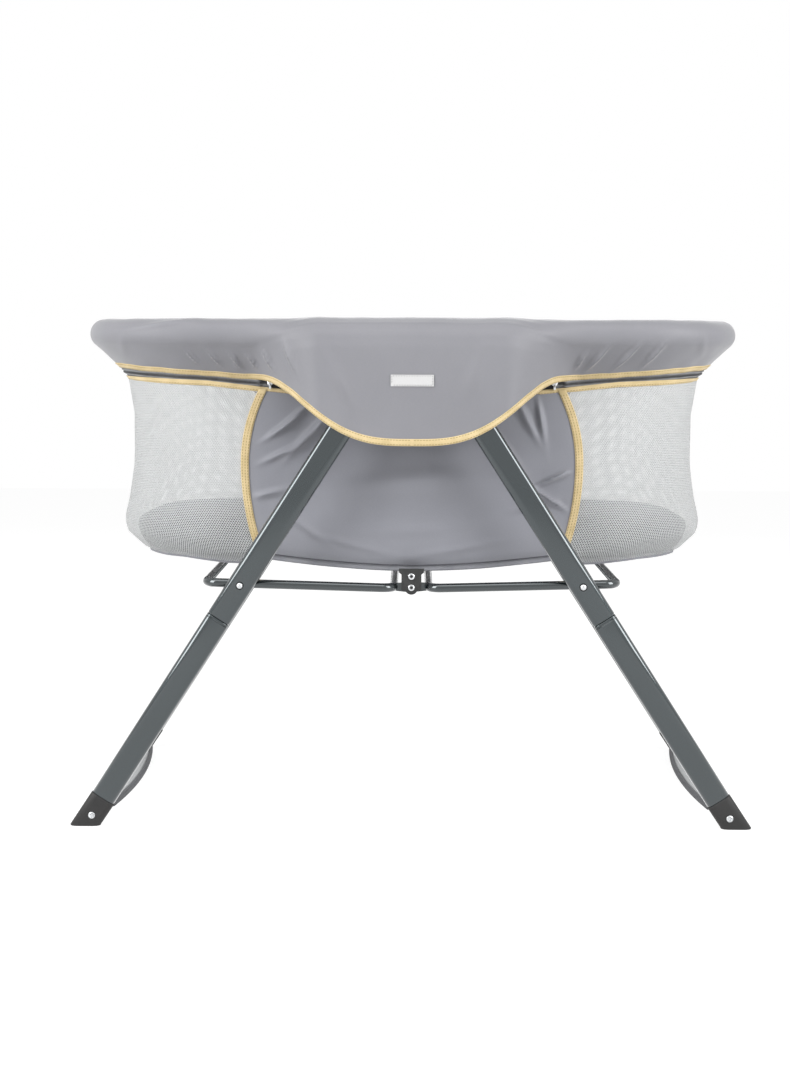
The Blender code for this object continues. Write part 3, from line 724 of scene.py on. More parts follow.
def cover_loop():
    """The whole cover as one closed grid: right half front to back, then left half back to front."""
    rows = []
    for side, stations in ((1, range(len(ROUTE))), (-1, range(len(ROUTE) - 2, 0, -1))):
        for i in stations:
            x, y, nx, ny = ROUTE[i]
            hem = hem_of(FROM_MIDDLE[i])
            weight = float(1 - smooth(0.120, 0.228, FROM_MIDDLE[i]))
            over_hub = HUB_BULGE * float(1 - smooth(0.070, 0.105, FROM_MIDDLE[i]))
            inner = arc((0, 0), ROLL, 232, 80, 30)
            inner = [(a + math.cos(math.radians(t)) * over_hub * math.sin(math.pi * k / 30) ** 0.6,
                      b + math.sin(math.radians(t)) * over_hub * math.sin(math.pi * k / 30) ** 0.6)
                     for k, ((a, b), t) in enumerate(zip(inner, np.linspace(232, 80, 31)))]
            skirt, flap = resample(skirt_section(hem), 52), resample(flap_section(hem), 52)
            outer = (1 - weight) * skirt + weight * flap
            section = np.concatenate([inner[:-1], outer])
            rows.append([(side * (x + a * nx), y + a * ny, RAIL_Z + b) for a, b in section])
    return np.array(rows)


# Short creases where the skirt is gathered: (x, z), angle, then length, width and height in millimetres.
# The heights are then multiplied by SKIRT_DEPTH, so one number makes all the creases crisper or softer.
SKIRT_DEPTH = 2.2
SKIRT_FOLDS = (((0.245, 0.622), 50, 17, 2.6, 3.0), ((0.283, 0.624), 47, 18, 2.6, 3.2),
               ((0.318, 0.626), 50, 17, 2.6, 2.8), ((0.222, 0.618), 62, 11, 2.2, 2.2),
               ((-0.190, 0.618), 118, 14, 2.4, 2.6), ((-0.212, 0.616), 122, 11, 2.0, 2.0),
               ((-0.235, 0.617), 124, 11, 2.0, 2.0), ((-0.262, 0.620), 128, 12, 2.2, 2.0),
               ((-0.292, 0.622), 130, 11, 2.0, 1.8), ((-0.160, 0.622), 112, 18, 3.0, 2.4),
               ((0.385, 0.640), 96, 14, 4.5, 0.7), ((-0.385, 0.640), 84, 14, 4.5, 0.7),
               ((-0.330, 0.664), 8, 40, 3.5, 1.2), ((0.080, 0.600), 70, 30, 9.0, 1.6),
               ((-0.095, 0.590), 118, 34, 8.0, 1.8))

loop = cover_loop()
normal = facing_out(loop, normals_of(loop, True))
share = np.linspace(0, 1, loop.shape[1])[None, :]
slack = (0.9 * ripple(loop, 11.0, 3.0) + 0.5 * ripple(loop, 38.0, 8.0, (1, 1, 0.5))
         + smooth(0.62, 0.95, share) * 1.3 * ripple(loop, 30.0, 12.0, (1.3, 1.3, 0.25))
         + smooth(0.25, 0.0, share) * 1.1 * ripple(loop, 34.0, 5.0, (1.2, 1.2, 0.2))) * MM
loop = loop + normal * slack[..., None]
for place, angle, length, width, height in SKIRT_FOLDS:
    size = length * MM, width * MM, SKIRT_DEPTH * height * MM
    loop = fold(loop, normal, place, angle, *size)
    loop = fold(loop, normal, (-place[0], place[1]), 180 - angle, *size, 1)
normal = facing_out(loop, normals_of(loop, True))
HALF = len(ROUTE)


def half_of(grid, side):
    """The left or right half of a closed grid, front to back, with both middle rows."""
    return grid[:HALF] if side > 0 else np.concatenate([grid[HALF - 1:], grid[:1]])[::-1]


def on_rail(obj, side, *nodes, slot="grey_fabric"):
    """Hides the CAD nodes that a rail cloth replaces and bakes the cloth's place into its mesh."""
    if nodes:
        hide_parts(*nodes)
    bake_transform(obj)


covers, cover_normals = {}, {}
for name, side in SIDES:
    covers[name], cover_normals[name] = half_of(loop, side), half_of(normal, side)
    cover = shell(f"{name}_cover_cloth", covers[name], cover_normals[name], 0.9 * MM, rim_cloth)
    on_rail(cover, side, f"{name}_rail_cover", *(("front_flap", "back_flap") if side < 0 else ()))
print("cover points per half:", covers["left"].shape)


# %% [markdown]
# ## Bindings and tapes
# A tape is a flat closed strip along a line. A curve with a bevel profile would twist where the line bends,
# so the strip takes the line's points with the direction across it and the direction out of it at each.
# The same function makes the gold bindings, the grey piping, the seam grooves and the zip's tape.

# %% Tapes
def tape(name, line, across, out, width, thickness, material):
    """A strip with soft edges; line is its middle, across and out are unit vectors at each point."""
    half, bulge = width / 2, thickness / 2
    edge = half * 0.93
    shape = [(-half, 0), (-edge, bulge * 0.8), (-half * 0.5, bulge), (0, bulge), (half * 0.5, bulge),
             (edge, bulge * 0.8), (half, 0), (edge, -bulge), (0, -bulge), (-edge, -bulge)]
    rings = np.stack([line + a * across + b * out for a, b in shape], axis=1)
    turned_in = np.sum(np.cross(rings[1, 3] - rings[0, 3], rings[0, 4] - rings[0, 3]) * out[0]) < 0
    return sheet_mesh(name, rings, material, loop=True, flip=not turned_in)


def up_from_hem(grid, normals, distance):
    """The line at a distance up from the hem of a cover, with its across and out vectors."""
    up = grid[:, ::-1]
    lengths = np.concatenate([np.zeros((len(grid), 1)),
                              np.cumsum(np.linalg.norm(np.diff(up, axis=1), axis=2), axis=1)], axis=1)

    def at(values, reach):
        return np.stack([[np.interp(reach, lengths[i], values[i, :, k]) for k in range(3)]
                         for i in range(len(grid))])

    line = at(up, distance)
    return line, unit(at(up, distance + 2 * MM) - line), unit(at(normals[:, ::-1], distance))


HEM_WIDTH = 9.6 * MM
hems = {}
for name, side in SIDES:
    hems[name] = up_from_hem(covers[name], cover_normals[name], HEM_WIDTH / 2 - 1.2 * MM)
    line, across, out = hems[name]
    strip = tape(f"{name}_hem_binding", line - out * 0.45 * MM, across, out, HEM_WIDTH, 2.8 * MM, gold_tape)
    on_rail(strip, side)
print("hem bindings:", len(hems))

# %% [markdown]
# ## The tub
# The walls hang from the zip band under the hem. Their plan changes from rail to waist to floor, and the
# curved side bindings divide them into a cloth panel at front and back and a mesh end at each side. A
# table of levels holds that plan. Broad noise gives the panels their slack, and a list of single creases
# stands where the cloth is really pulled: under the zip, beside the bindings and along the floor.

# %% Tub walls
WALL_LEVELS = np.array([                           # height, half length, half width, corner radius
    (0.3355, 0.3720, 0.1840, 0.160), (0.3420, 0.3810, 0.1930, 0.162), (0.3525, 0.3900, 0.1985, 0.163),
    (0.3637, 0.4008, 0.2000, 0.163), (0.3750, 0.4043, 0.2005, 0.162), (0.3863, 0.4043, 0.2000, 0.158),
    (0.3980, 0.4016, 0.1990, 0.152), (0.4206, 0.3960, 0.1975, 0.143), (0.4430, 0.3920, 0.1965, 0.135),
    (0.4664, 0.3885, 0.1950, 0.129), (0.4885, 0.3871, 0.1935, 0.122), (0.5430, 0.3854, 0.1900, 0.106),
    (0.5660, 0.3880, 0.1870, 0.096), (0.5940, 0.3915, 0.1840, 0.086)])
WALL_COLUMNS = 70
BAND_SIDE, BAND_END = 23 * MM, 32 * MM             # the zip band runs this far inside the rail


def side_binding(z):
    """Distance from the middle of the curved binding between panel and mesh, at height z."""
    return 0.2235 - 0.0235 * ((z - 0.470) / 0.107) ** 2 if z > 0.470 else 0.2235 - 0.0150 * (
        (0.470 - z) / 0.107) ** 2


def wall_line(z, start, count):
    """Points round one end at height z, from x = start at the front to x = start at the back."""
    x, y, corner = (np.interp(z, WALL_LEVELS[:, 0], WALL_LEVELS[:, k]) for k in (1, 2, 3))
    line = [(start, -y)]
    for way, first in ((-1, -90), (1, 0)):
        line += arc((x - corner, way * (y - corner)), corner, first, first + 90, 24)
    line.append((start, y))
    return resample(line, count)


def wall_top(x):
    """Height of the lower binding, where the walls are sewn to the zip."""
    return float(np.interp(abs(x), (0.0, 0.13, 0.198, 0.275, 0.42), (0.571, 0.571, 0.578, 0.5865, 0.5925)))


def panel_bottom(x):
    """The panel's lower edge sags in the middle."""
    return 0.3352 + 0.0150 * (abs(x) / 0.19) ** 1.7


def end_bottom(x):
    return float(np.interp(abs(x), (0.20, 0.25, 0.31, 0.36, 0.41), (0.3455, 0.3465, 0.3510, 0.3512, 0.3500)))


def mesh_grid(side, count=150):
    """Points of one mesh end: rows go round the end, columns go up the wall."""
    grid = np.zeros((count, WALL_COLUMNS, 3))
    for j, share in enumerate(np.linspace(0, 1, WALL_COLUMNS) ** 0.9):
        z = 0.3355 + share * (0.594 - 0.3355)
        line = wall_line(z, side_binding(z), count)
        low = np.array([end_bottom(v) for v in line[:, 0]])
        high = np.array([wall_top(v) for v in line[:, 0]])
        level = low + (z - 0.3355) * (high - low) / (0.594 - 0.3355)
        grid[:, j] = np.stack([side * line[:, 0], line[:, 1], level], axis=1)
    return grid


def panel_grid(row, count=190):
    """Points of the front or back panel: rows go from left binding to right binding, columns go up."""
    grid = np.zeros((count, WALL_COLUMNS, 3))
    for j, share in enumerate(np.linspace(0, 1, WALL_COLUMNS) ** 0.9):
        z = 0.3355 + share * (0.578 - 0.3355)
        y = np.interp(z, WALL_LEVELS[:, 0], WALL_LEVELS[:, 2])
        for i, x in enumerate(np.linspace(-1, 1, count) * side_binding(z)):
            low, high = panel_bottom(x), wall_top(x)
            grid[i, j] = (x, row * y, low + share * (high - low))
    return grid


# Creases of the panels: (x, z), angle, then length, width and height in millimetres. PANEL_DEPTH
# multiplies the heights.
PANEL_DEPTH = 1.6
PANEL_FOLDS = (((-0.150, 0.548), 40, 26, 4.0, 6.0), ((-0.168, 0.530), 33, 26, 4.0, 6.0),
               ((-0.140, 0.515), 46, 34, 5.5, 5.0), ((-0.176, 0.492), 24, 24, 4.0, 4.0),
               ((-0.118, 0.540), 60, 26, 5.0, 4.0), ((0.150, 0.545), 118, 30, 4.5, 6.0),
               ((0.172, 0.540), 100, 24, 3.6, 5.0), ((0.128, 0.560), 136, 18, 3.0, 4.0),
               ((0.120, 0.500), 128, 34, 7.0, 5.0), ((0.190, 0.462), 22, 24, 2.8, 7.0),
               ((0.176, 0.438), -32, 30, 3.2, 7.0), ((0.160, 0.425), 12, 30, 5.0, 4.0),
               ((-0.150, 0.400), -35, 34, 5.0, 4.0), ((-0.080, 0.372), -14, 46, 4.0, 3.0),
               ((0.060, 0.366), 10, 52, 4.0, 3.0), ((0.000, 0.392), 2, 70, 9.0, 3.0),
               ((-0.190, 0.440), 12, 22, 4.0, 4.0), ((0.000, 0.455), 4, 90, 16.0, 5.0))


def crease_panel(grid, row):
    """Slack in the panel: broad billows and the listed creases, fading out at its sewn edges."""
    normal = facing_out(grid, normals_of(grid))
    share = np.linspace(0, 1, grid.shape[1])[None, :]
    fade = np.sin(np.pi * share) ** 0.4 * smooth(1.0, 0.9, np.abs(grid[..., 0]) / 0.222)
    billow = 3.2 * ripple(grid, 7.0, 1.5 + row) + 1.6 * ripple(grid, 17.0, 4.0)
    moved = grid + normal * (billow * MM)[..., None]
    for place, angle, length, width, height in PANEL_FOLDS:
        size = length * MM, width * MM, PANEL_DEPTH * height * MM
        if row > 0:
            place, angle = (-place[0], place[1]), 180 - angle
        moved = fold(moved, normal, place, angle, *size, row)
    return grid + (moved - grid) * fade[..., None]


def on_bag(obj, *nodes, slot="grey_panel"):
    """A cloth that hangs from the hub: it rides on the hub's body, hides the CAD nodes it replaces and gets
    a mesh of its own.
    """
    piece(obj, "hub", *nodes, slot=slot)
    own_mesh(obj)


walls, wall_normals = {}, {}
for name, side in SIDES:
    grid = mesh_grid(side)
    normal = facing_out(grid, normals_of(grid))
    walls[name] = grid + normal * (0.9 * MM * ripple(grid, 16.0, 6.0, (1, 1, 0.35)))[..., None]
    net = sheet_mesh(f"{name}_mesh_net", walls[name], white_mesh, flip=side < 0)
    on_bag(net, f"{name}_mesh_end", slot="mesh_fabric")
for name, row in ROWS:
    walls[name] = crease_panel(panel_grid(row), row)
    wall_normals[name] = facing_out(walls[name], normals_of(walls[name]))
    panel = shell(f"{name}_panel_cloth", walls[name], wall_normals[name], 0.8 * MM, panel_cloth)
    on_bag(panel, f"{name}_panel")

# %% [markdown]
# ## Upper linings
# The panel's cloth carries on up to the rail on the inside, behind the hub and the tops of the legs. It
# closes the view between wall and rail, and it is a little slack because nothing pulls on it there.

# %% Upper linings
LINING_TOP, LINING_HALF = 0.6435, 0.212            # it ends under the roll and behind the legs
for name, row in ROWS:
    rise = resample([(0.1822, 0.0), (0.1822, 0.35), (0.1850, 0.65), (0.1885, 0.90), (0.1905, 1.0)], 14)
    grid = np.array([[(x, row * y, wall_top(x) - 6 * MM + share * (LINING_TOP - wall_top(x) + 6 * MM))
                      for y, share in rise] for x in np.linspace(-LINING_HALF, LINING_HALF, 90)])
    out = facing_out(grid, normals_of(grid))
    grid = grid - out * (0.9 * MM * (1 + ripple(grid, 14.0, 9.0)) * np.sin(np.pi * rise[:, 1]))[..., None]
    on_bag(shell(f"{name}_upper_lining", grid, facing_out(grid, normals_of(grid)), 0.7 * MM, panel_cloth))

# %% [markdown]
# ## Bindings of the tub
# Each side seam is covered by a gold tape with rows of stitches, and the bottom seam by a grey tape with
# a thin dark strip above it: painted shade that stands for the sunken line of the seam. They are laid on
# lines taken from the walls, so they follow every crease.

# %% Bindings of the tub
def seam_line(grid, height):
    """A line at a height above the lower edge of a wall."""
    return np.stack([[np.interp(column[0, 2] + height, column[:, 2], column[:, k]) for k in range(3)]
                     for column in grid])


stitch_lines = []                                  # (points, outward, side of the rail or None)
for name, row in ROWS:
    grid, out_all = walls[name], wall_normals[name]
    up = np.tile([0.0, 0.0, 1.0], (len(grid), 1))
    for label, side in SIDES:
        k = 0 if side < 0 else -1
        line, inner = grid[k], grid[4 if side < 0 else -5]
        across, out = unit(inner - line), out_all[k]
        strip = tape(f"{name}_{label}_side_binding", line + out * 0.5 * MM, across, out,
                     11.0 * MM, 2.6 * MM, gold_tape)
        on_bag(strip, slot="grey_fabric")
        for shift in (-3.6, 0.4, 3.8):
            stitch_lines.append((line + across * shift * MM + out * 1.75 * MM, out, None))
    out = out_all[:, 1]
    edge = grid[:, 1] + out * 0.3 * MM
    on_bag(tape(f"{name}_bottom_binding", edge, up, out, 9.5 * MM, 2.4 * MM, grey_tape))
    # A thin dark strip of painted shade where the seam's groove lies.
    groove = seam_line(grid, 8.5 * MM) + out * 0.6 * MM
    on_bag(tape(f"{name}_painted_seam_shadow", groove, up, out, 1.3 * MM, 0.8 * MM, thread_and_seam_shadow))
for name, side in SIDES:
    grid = walls[name]
    out = facing_out(grid, normals_of(grid))[:, 0]
    up = np.tile([0.0, 0.0, 1.0], (len(grid), 1))
    edge = grid[:, 0] + np.array([0, 0, 1.0]) * MM
    on_bag(tape(f"{name}_bottom_piping", edge, up, out, 4.5 * MM, 3.2 * MM, grey_tape))
print("side seams stitched:", len(stitch_lines), "lines")

# %% [markdown]
# ## Zip band round each end
# A zip joins the tub to the cover round each end. Near the middle it is open, and a dark sheet behind it
# paints the shadow in the gap. From the slider on there are the tape, two folded edges and the coil between
# them, and a gold binding below. All of them lie between the hem and the top of the wall, so they share
# those two lines.

# %% Zip band round each end
zip_lines = {}
for name, side in SIDES:
    hem, hem_across, hem_out = hems[name]
    reach = FROM_MIDDLE > 0.112
    route, middle = ROUTE[reach], FROM_MIDDLE[reach]
    inset = -(BAND_SIDE + (BAND_END - BAND_SIDE) * route[:, 2] ** 2)
    lower = np.stack([side * (route[:, 0] + inset * route[:, 2]), route[:, 1] + inset * route[:, 3],
                      [wall_top(x) for x in middle]], axis=1)
    facing = np.stack([side * route[:, 2], route[:, 3], np.zeros(len(route))], axis=1)
    upper = np.where((middle > FLAP_HALF)[:, None], covers[name][reach][:, -1], lower + (0, 0, 0.017))
    rise = unit(upper - lower)
    centre = (upper + lower) / 2
    binding = tape(f"{name}_lower_binding", lower + facing * 0.7 * MM, rise, facing,
                   7.0 * MM, 2.6 * MM, gold_tape)
    closed = middle > ZIP_FROM - 3 * MM
    band = tape(f"{name}_zip_tape", (centre - facing * 1.0 * MM)[closed], rise[closed], facing[closed],
                18.0 * MM, 0.8 * MM, zip_tape)
    strips = [binding, band]
    # Dark sheets behind the open part of the zip: painted shadow for the shade in the gap.
    for word, way in (("front", route[:, 1] < 0), ("back", route[:, 1] > 0)):
        gap = (middle < ZIP_FROM + 4 * MM) & way
        strips.append(tape(f"{name}_{word}_zip_shadow_sheet", (centre - facing * 2.2 * MM)[gap], rise[gap],
                           facing[gap], 19.0 * MM, 0.8 * MM, painted_shadow_lining))
    for strip in strips:
        on_rail(strip, side)
    stitch_lines.append((lower - rise * 1.6 * MM + facing * 1.9 * MM, facing, side))
    zipped = middle > ZIP_FROM
    line, rise, facing = centre[zipped] + rise[zipped] * 1.2 * MM, rise[zipped], facing[zipped]
    zip_lines[name] = (line, facing)
    for word, shift in (("upper", 3.6), ("lower", -3.2)):
        cord_line = line + rise * shift * MM - facing * 0.3 * MM
        on_rail(tape(f"{name}_zip_{word}_fold", cord_line, rise, facing, 1.6 * MM, 1.6 * MM, zip_edge), side)
    for shift in (-3.0, 3.0):
        stitch_lines.append((hem + hem_across * shift * MM + hem_out * 0.85 * MM, hem_out, side))
print("zip points per half:", {name: len(line) for name, (line, _) in zip_lines.items()})

# %% [markdown]
# ## Stitches and zip teeth
# Both repeat hundreds of times along a line, so Geometry Nodes place them: a line of points carries the
# turn of each copy, one small shape is set on every point, and the copies are made real. An array modifier
# along a curve would stretch the copies at the bends; separate points keep each one its own shape.

# %% Repeats along a line
def repeater(name, size, material):
    """A node group that sets one small block or bead on each point, turned by the point's own attribute."""
    tree = bpy.data.node_groups.new(name, "GeometryNodeTree")
    tree.interface.new_socket("Points", in_out="INPUT", socket_type="NodeSocketGeometry")
    size_input = tree.interface.new_socket("Size", in_out="INPUT", socket_type="NodeSocketVector")
    size_input.default_value = size
    tree.interface.new_socket("Copies", in_out="OUTPUT", socket_type="NodeSocketGeometry")
    entry, leave = tree.nodes.new("NodeGroupInput"), tree.nodes.new("NodeGroupOutput")
    bead = add(tree, "GeometryNodeMeshIcoSphere", {"Radius": 0.5, "Subdivisions": 1}).outputs["Mesh"]
    sized = add(tree, "GeometryNodeTransform", {"Geometry": bead, "Scale": entry.outputs["Size"]}).outputs[0]
    turn = add(tree, "GeometryNodeInputNamedAttribute", {"Name": "turn"},
               data_type="FLOAT_VECTOR").outputs[0]
    turn = add(tree, "FunctionNodeEulerToRotation", {0: turn}).outputs[0]
    copies = add(tree, "GeometryNodeInstanceOnPoints", {"Points": entry.outputs["Points"], "Instance": sized,
                                                        "Rotation": turn}).outputs[0]
    real = add(tree, "GeometryNodeRealizeInstances", {0: copies}).outputs[0]
    done = add(tree, "GeometryNodeSetMaterial", {"Geometry": real, "Material": material}).outputs[0]
    tree.links.new(done, leave.inputs[0])
    return tree


def copies_along(name, lines, step, tree):
    """One mesh with a copy every step along each line; lines are (points, outward) pairs."""
    places, turns = [], []
    for line, out in lines:
        line, out = np.asarray(line), np.asarray(out)
        lengths = np.concatenate([[0], np.cumsum(np.linalg.norm(np.diff(line, axis=0), axis=1))])
        for reach in np.arange(step, lengths[-1] - step, step):
            here = np.array([np.interp(reach, lengths, line[:, k]) for k in range(3)])
            ahead = np.array([np.interp(reach + step / 4, lengths, line[:, k]) for k in range(3)])
            up = np.array([np.interp(reach, lengths, out[:, k]) for k in range(3)])
            way = Vector(ahead - here).normalized()
            side_way = Vector(up).cross(way).normalized()
            matrix = Matrix((way, side_way, way.cross(side_way))).transposed()
            places.append(here)
            turns.append(matrix.to_euler())
    mesh = bpy.data.meshes.new(name)
    mesh.from_pydata([tuple(p) for p in places], [], [])
    turn = mesh.attributes.new("turn", "FLOAT_VECTOR", "POINT")
    turn.data.foreach_set("vector", np.array(turns, np.float32).ravel())
    obj = link_object(name, mesh)
    copier = obj.modifiers.new("copies", "NODES")
    copier.node_group = tree
    graph = bpy.context.evaluated_depsgraph_get()
    made = bpy.data.meshes.new_from_object(obj.evaluated_get(graph))
    obj.modifiers.clear()
    obj.data = made
    made.name = name
    made.shade_smooth()
    return obj


stitch_tree = repeater("stitch", (3.0 * MM, 1.0 * MM, 0.8 * MM), gold_thread)
for name, side in SIDES:
    lines = [(points, out) for points, out, half in stitch_lines if half == side]
    on_rail(copies_along(f"{name}_rail_stitches", lines, 3.9 * MM, stitch_tree), side)
    tooth_tree = repeater("tooth", (0.9 * MM, 3.4 * MM, 1.4 * MM), zip_coil)
    on_rail(copies_along(f"{name}_zip_teeth", [zip_lines[name]], 1.7 * MM, tooth_tree), side)
lines = [(points, out) for points, out, half in stitch_lines if half is None]
on_bag(copies_along("tub_stitches", lines, 3.9 * MM, stitch_tree), slot="grey_fabric")
print("stitched lines:", len(stitch_lines))


# %% [markdown]
# ## Mattress
# Each mattress half is a soft pad round a stiff board. A rounded box would look like plastic, so the pad
# starts a little small and a cloth simulation blows it up: air pressure fills the cover, and the weave of
# the simulation leaves the slight unevenness that a filled cover has. Its growth is capped, so that the
# pad keeps to its place between the walls.

# %% Mattress
def plan_line(half_x, half_y, corner, side, count, start=1.0 * MM):
    """The closed plan of one half: a straight edge at the fold and two round corners at the end."""
    line = [(start, -half_y)]
    for way, first in ((-1, -90), (1, 0)):
        line += arc((half_x - corner, way * (half_y - corner)), corner, first, first + 90, 20)
    line.append((start, half_y))
    closed = resample(line + [line[0]], count + 1)[:-1]
    return [(side * x, y) for x, y in closed]


def swell(obj, cap, frames=20, voxel=5 * MM):
    """Remeshes a pad and blows it up with cloth, moving no point further than cap."""
    step = obj.modifiers.new("even", "REMESH")
    step.mode, step.voxel_size = "VOXEL", voxel
    graph = bpy.context.evaluated_depsgraph_get()
    mesh = bpy.data.meshes.new_from_object(obj.evaluated_get(graph))
    obj.modifiers.clear()
    obj.data = mesh
    rest = np.array([v.co for v in mesh.vertices])
    cloth = obj.modifiers.new("cloth", "CLOTH")
    cloth.settings.use_pressure = True
    cloth.settings.uniform_pressure_force = 4.0
    cloth.settings.effector_weights.gravity = 0.0
    cloth.settings.quality = 4
    for number in range(1, frames + 1):
        scene.frame_set(number)
    graph = bpy.context.evaluated_depsgraph_get()
    blown = np.array([v.co for v in obj.evaluated_get(graph).data.vertices])
    obj.modifiers.clear()
    move = blown - rest
    length = np.linalg.norm(move, axis=1, keepdims=True)
    move *= np.minimum(1.0, cap / np.maximum(length, 1e-9))
    final = rest + move
    mesh.vertices.foreach_set("co", final.astype(np.float32).ravel())
    mesh.update()
    scene.frame_set(1)
    return obj


def pad_half(side, inset):
    """Half of the mattress, a little short of its final size, with a crown that is highest in the middle."""
    low, high = mat_low.z + inset, mat_high.z + 8 * MM - inset
    x, y, corner = mat_high.x + 5.5 * MM - inset, mat_high.y - inset, 0.160
    section = ((low, 28), (low + 4 * MM, 21), (low + 10 * MM, 14.5), (low + 18 * MM, 7),
               (high - 14 * MM, 0.5), (high - 6 * MM, 3.0), (high - 1.5 * MM, 8), (high + 1 * MM, 16),
               (high + 4 * MM, 40), (high + 6.5 * MM, 80), (high + 7.5 * MM, 130))
    rings = []
    for z, pull in section:                        # pull is how far the pad draws in at height z
        pull *= MM
        plan = plan_line(x - pull, y - pull, max(corner - pull, 0.03), side, 120)
        rings.append([(a, b, z) for a, b in plan])
    return solid(f"pad_{side}", rings, mattress_cloth)


for name, side in SIDES:
    pad = pad_half(side, 2.5 * MM)
    pad.name = f"{name}_mattress_pad"
    swell(pad, 4.0 * MM)
    pad.data.materials.clear()
    pad.data.materials.append(mattress_cloth)
    pad.data.shade_smooth()
    uv = pad.data.uv_layers.new(name="metres")
    places = np.array([pad.data.vertices[loop.vertex_index].co for loop in pad.data.loops])
    uv.data.foreach_set("uv", places[:, :2].astype(np.float32).ravel())
    fine = pad.modifiers.new("fine", "SUBSURF")
    fine.levels = fine.render_levels = 1
    piece(pad, f"{name}_base", f"{name}_mattress", slot="mattress_fabric")


print("mattress pads:", len(SIDES))


# %% [markdown]
# ## Floor of the tub
# A cloth floor closes the tub under the mattress. It is sewn to the lower edges of the walls, so its edge
# takes their sagging heights and the rest lies a few millimetres higher, against the boards.

# %% Floor of the tub
def floor_grid():
    """The tub's cloth floor, from its sagging edge in to the boards."""
    rings = []
    steps = ((0.0, 0.0), (3 * MM, -0.6 * MM), (10 * MM, 1.5 * MM), (22 * MM, 4 * MM), (60 * MM, 5.5 * MM))
    for inset, lift in steps:
        loop = []
        for side in (1, -1):
            x, y, corner = 0.3735 - inset, 0.1835 - inset, 0.160 - inset
            half = resample([(0, -y)] + arc((x - corner, -(y - corner)), corner, -90, 0, 20)
                            + arc((x - corner, y - corner), corner, 0, 90, 20) + [(0, y)], 80)
            half = half if side > 0 else half[::-1] * (-1, 1)
            for a, b in half[:-1]:
                edge = panel_bottom(a) if abs(a) < 0.205 else end_bottom(a)
                loop.append((a, b, edge + 1.0 * MM + lift))
        rings.append(loop)
    return rings


rings = floor_grid()
shape = bmesh.new()
rows = [[shape.verts.new(p) for p in ring] for ring in rings]
for one, two in zip(rows, rows[1:]):
    for i in range(len(one)):
        j = (i + 1) % len(one)
        shape.faces.new((one[i], one[j], two[j], two[i]))
shape.faces.new(rows[-1])
bmesh.ops.recalc_face_normals(shape, faces=shape.faces)
mesh = bpy.data.meshes.new("tub_floor_cloth")
shape.to_mesh(mesh)
shape.free()
mesh.shade_smooth()
uv = mesh.uv_layers.new(name="metres")
places = np.array([mesh.vertices[loop.vertex_index].co for loop in mesh.loops])
uv.data.foreach_set("uv", places[:, :2].astype(np.float32).ravel())
# Its cloth is painted paler to lift the shade under the tub: painted light.
tub_floor = thicken(link_object("tub_floor_cloth", mesh, floor_cloth), 0.8 * MM)
on_bag(tub_floor, "tub_floor")
print("floor rings:", len(rings))


# %% [markdown]
# ## Legs and feet
# Each leg is two oval steel tubes, one sliding out of the other, with a moulded foot on its end. The tube
# has flat faces and round edges, so one section in millimetres is carried down the leg; it draws in and
# out by tenths of a millimetre where a cut end, a groove or a collar catches the light.

# %% Legs and feet
def leg_ring(side, row, s, section, floor=False):
    """A ring across a leg at distance s from its pivot, or where the leg meets the floor."""
    ring = []
    for a, b in section:
        distance = (LEG_PIVOT[2] + a * OUT[1]) / -DOWN[1] if floor else s
        x = LEG_PIVOT[0] + distance * DOWN[0] + a * OUT[0]
        z = LEG_PIVOT[2] + distance * DOWN[1] + a * OUT[1]
        ring.append((side * x, row * LEG_Y + b, 0.0 if floor else z))
    return ring


def section(inset, extra=0.0):
    """The oval tube: a flat face, then a shallow shoulder that rolls over into a round edge."""
    grow = (extra - 2 * inset) / 2
    corner = [(16.5, 0.0), (16.35, 2.4), (15.7, 4.7), (14.6, 6.4), (13.2, 7.55), (11.6, 8.25), (10.0, 8.7),
              (8.4, 8.93), (6.8, 9.0)]
    quarter = [(a * MM * (1 + grow / (16.5 * MM)), b * MM * (1 + grow / (9 * MM))) for a, b in corner]
    half = quarter + [(-a, b) for a, b in quarter[::-1]]
    return half + [(-a, -b) for a, b in half[1:-1]]


LEG_SEAM, FOOT_TOP, LEG_TOP = 0.4140, 0.7010, 0.0185   # distances along the leg from its pivot
FOOT_EXTRA = 1.5 * MM                              # the foot is this much wider than the tube
TUBE_END = LEG_SEAM + 0.3 * MM
UPPER_STATIONS = ((-LEG_TOP, 1.2), (-LEG_TOP + 0.6 * MM, 0.3), (-LEG_TOP + 1.4 * MM, 0.0),
                  (LEG_SEAM - 1.2 * MM, 0.0), (LEG_SEAM - 0.4 * MM, 0.3), (LEG_SEAM, 0.9), (LEG_SEAM, 2.2))
LOWER_STATIONS = ((TUBE_END - 20 * MM, 1.6), (TUBE_END, 1.6), (TUBE_END + 0.6 * MM, 1.2),
                  (TUBE_END + 1.0 * MM, 0.45), (TUBE_END + 1.6 * MM, 0.15), (TUBE_END + 3.2 * MM, 0.1),
                  (TUBE_END + 3.8 * MM, 0.6), (TUBE_END + 4.4 * MM, 0.6), (TUBE_END + 5.0 * MM, 0.0),
                  (FOOT_TOP - 1.0 * MM, 0.0), (FOOT_TOP - 0.3 * MM, 0.5))


def leg_tube(name, side, row, stations):
    """A tube down the leg: stations are (distance from the pivot, millimetres drawn in)."""
    return solid(name, [leg_ring(side, row, s, section(i * MM)) for s, i in stations], leg_paint)


